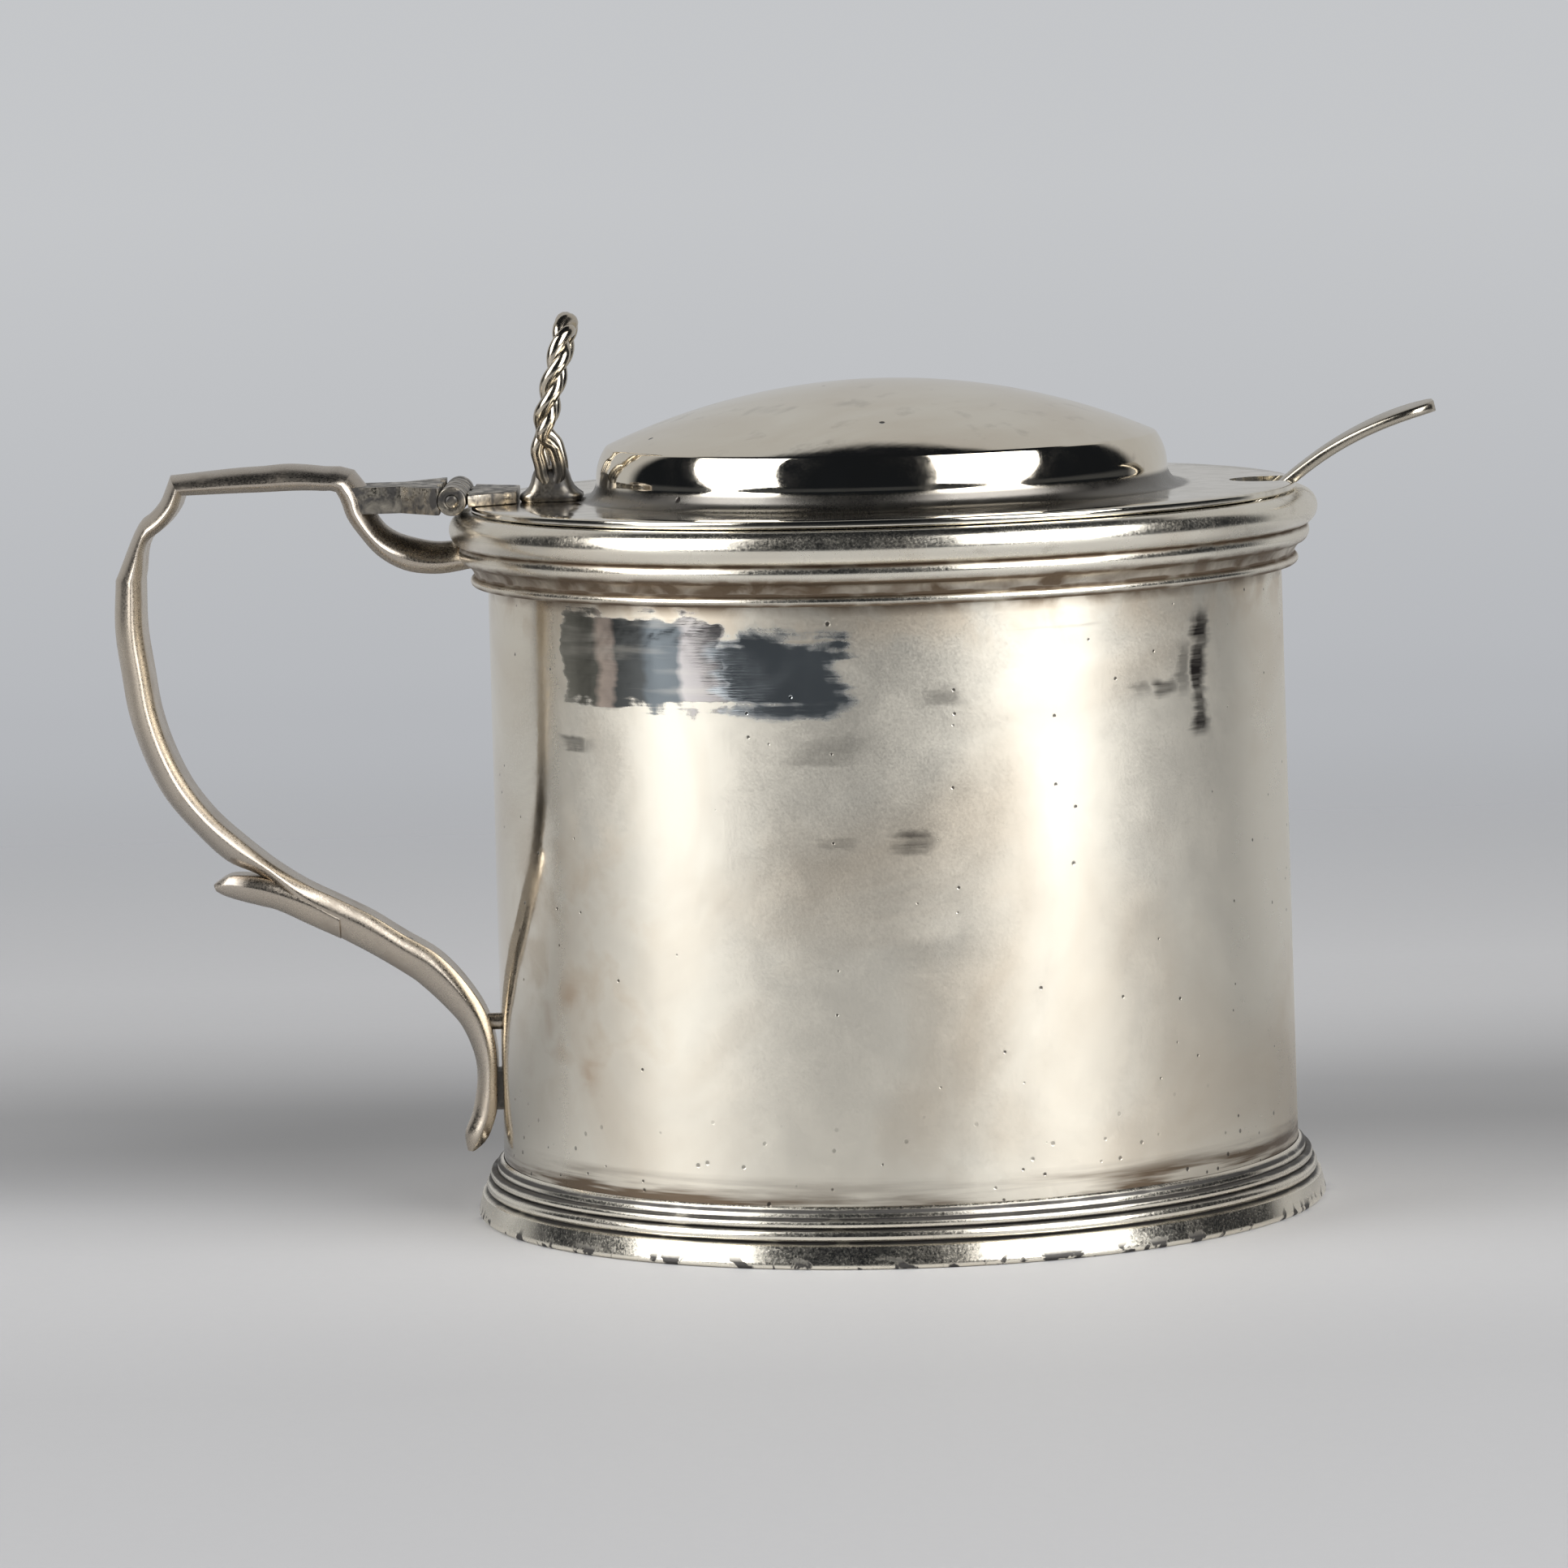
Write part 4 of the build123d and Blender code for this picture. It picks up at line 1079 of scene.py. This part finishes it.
linerOutline += straight((liner["radius"], heelTop), (liner["radius"], liner["top"] - lip), 10)[1:]
linerOutline += arcPoints((liner["radius"] - lip, liner["top"] - lip), lip, 0, 180, 14)[1:]
floorTop = liner["low"] + liner["floor"]
well = liner["wellRound"]
linerOutline += arcPoints((innerRadius - well, floorTop + well), well, 0, -90, 10)
linerOutline += [(0, floorTop)]
linerGlass = spinOutline("linerGlass", linerOutline, 160, 50)
finishPiece(linerGlass, "liner", "blue_glass", cobaltGlass, "glass_liner")

print("remaining solids")
for nodeName, finish in (
    ("base_plate", "foot"), ("handle_strut", "handle"), ("handle_lug", "lug"), ("hinge_pin", "hinge"),
):
    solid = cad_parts[nodeName]
    for place in solid.material_slots:
        place.material = finishes[finish]

print("stage")
# the table in metres along Y, the world by the height of its direction
stage = {
    "frontEdge": -0.40,
    "fadeStart": 0.09,
    "fadeEnd": 0.42,
    "half": 1.1,
    # the table's colour along Y holds painted light and shade, with a painted shadow band just behind the
    # pot
    "floorPaintedShade": [
        (-0.40, 0.50), (-0.082, 0.50), (-0.047, 0.55), (-0.02, 0.57), (0.0, 0.55), (0.02, 0.47),
        (0.038, 0.40), (0.060, 0.395), (0.087, 0.52), (0.115, 0.62), (0.146, 0.68), (0.215, 0.69),
        (0.32, 0.66), (0.42, 0.66),
    ],
    "coolness": 1.015,
    "paperShade": (0.3, 0.3, 0.32),
    "sheetTurn": (54, 64),
    "sheetTop": (0.725, 0.76),
    "sheetShade": (0.485, 0.485, 0.485),
    "lowRoom": (0.055, 0.058, 0.062),
    "highRoom": (0.009, 0.0105, 0.013),
    "backdropLow": (0.415, 0.425, 0.446),
    "backdropMiddle": (0.47, 0.482, 0.506),
    "backdropHigh": (0.556, 0.567, 0.584),
    "lampRise": 0.045,
    "lampDistance": 0.65,
    "lamps": {
        "leftLamp": {"azimuth": -66, "elevation": 30, "roll": 23, "size": (0.39, 0.74), "power": 3.92},
        "rightLamp": {"azimuth": 47, "elevation": 31, "roll": -18, "size": (0.46, 0.74), "power": 5.05},
    },
}
bpy.ops.object.select_all(action="DESELECT")
bpy.ops.mesh.primitive_plane_add(size=1, location=(0, 0, 0))
floor = bpy.context.object
floor.name = "tableTop"
floor.scale = (2 * stage["half"], stage["fadeEnd"] - stage["frontEdge"], 1)
floor.location = (0, (stage["fadeEnd"] + stage["frontEdge"]) / 2, 0)
bpy.ops.object.transform_apply(location=True, rotation=True, scale=True)
paleTable, tree, shader = startMaterial("paleTable", {"Roughness": 0.6, "Specular IOR Level": 0.25})
coords, split = objectCoords(tree)
paper = noise(tree, coords, 900, 3.0)
shades = [(place, (shade, shade, shade * stage["coolness"])) for place, shade in stage["floorPaintedShade"]]
# painted light and shade along the table
colour = shadeRamp(tree, split[1], shades)
colour = blendColour(tree, remap(tree, paper, 0.3, 0.7, 0.0, 0.03), colour, stage["paperShade"])
tree.links.new(colour, shader.inputs["Base Color"])
clearFloor = tree.nodes.new("ShaderNodeBsdfTransparent")
mixer = tree.nodes.new("ShaderNodeMixShader")
fade = remap(tree, split[1], stage["fadeStart"], stage["fadeEnd"] - 0.02, smooth=True)
tree.links.new(fade, mixer.inputs[0])
tree.links.new(shader.outputs[0], mixer.inputs[1])
tree.links.new(clearFloor.outputs[0], mixer.inputs[2])
tree.links.new(mixer.outputs[0], tree.nodes["Material Output"].inputs["Surface"])
floor.data.materials.append(paleTable)

world = bpy.data.worlds.new("studio")
bpy.context.scene.world = world
world.use_nodes = True
tree = world.node_tree
background = tree.nodes["Background"]
direction = tree.nodes.new("ShaderNodeTexCoord")
split = tree.nodes.new("ShaderNodeSeparateXYZ")
tree.links.new(direction.outputs["Generated"], split.inputs[0])
# a pale sheet hangs behind the table, up to a height and a width, and the room in front is dark
aside = mathNode(tree, "ABSOLUTE", mathNode(tree, "ARCTAN2", split.outputs[0], split.outputs[1]))
sheetTurn = [radians(turn) for turn in stage["sheetTurn"]]
behind = remap(tree, aside, *sheetTurn, 1.0, 0.0, smooth=True)
overhead = remap(tree, split.outputs[2], *stage["sheetTop"], 1.0, 0.0, smooth=True)
bright = times(tree, behind, overhead)
horizon = remap(tree, split.outputs[2], -0.03, 0.06, smooth=True)
dark = blendColour(tree, horizon, stage["lowRoom"], stage["highRoom"])
room = blendColour(tree, bright, dark, stage["sheetShade"])
# what the camera itself sees behind the table is shaded from dark below to pale above
lower = remap(tree, split.outputs[2], -0.14, -0.09)
upper = remap(tree, split.outputs[2], -0.095, -0.03)
backdrop = blendColour(tree, lower, stage["backdropLow"], stage["backdropMiddle"])
backdrop = blendColour(tree, upper, backdrop, stage["backdropHigh"])
path = tree.nodes.new("ShaderNodeLightPath")
tree.links.new(blendColour(tree, path.outputs["Is Camera Ray"], room, backdrop), background.inputs["Color"])
background.inputs["Strength"].default_value = 1.0

for name, lamp in stage["lamps"].items():
    azimuth, elevation = radians(lamp["azimuth"]), radians(lamp["elevation"])
    toward = Vector((sin(azimuth) * cos(elevation), -cos(azimuth) * cos(elevation), sin(elevation)))
    place = toward * stage["lampDistance"] + Vector((0, 0, stage["lampRise"]))
    bpy.ops.object.light_add(type="AREA", location=place)
    light = bpy.context.object
    light.name = name
    lean = Matrix.Rotation(radians(lamp["roll"]), 3, "Z")
    light.rotation_euler = (toward.to_track_quat("Z", "Y").to_matrix() @ lean).to_euler()
    light.data.shape = "RECTANGLE"
    light.data.size, light.data.size_y = lamp["size"]
    light.data.energy = lamp["power"]

print("camera")
view = {"place": (0, -640.72, 103.85), "yaw": -0.796, "pitch": -6.109, "roll": -1.745, "lens": 176.96}
yaw, pitch, roll = (radians(view[key]) for key in ("yaw", "pitch", "roll"))
ahead = Vector((sin(yaw) * cos(pitch), cos(yaw) * cos(pitch), sin(pitch)))
level = Vector((cos(yaw), -sin(yaw), 0))
upright = level.cross(ahead)
rightward = level * cos(roll) + upright * sin(roll)
upward = upright * cos(roll) - level * sin(roll)
bpy.ops.object.camera_add()
camera = bpy.context.object
turned = Matrix((rightward, upward, -ahead)).transposed().to_4x4()
camera.matrix_world = Matrix.Translation(Vector(view["place"]) * mm) @ turned
camera.data.lens = view["lens"]
camera.data.sensor_width = 36
camera.data.clip_start = 0.01
scene = bpy.context.scene
scene.camera = camera
scene.view_settings.view_transform = "Standard"
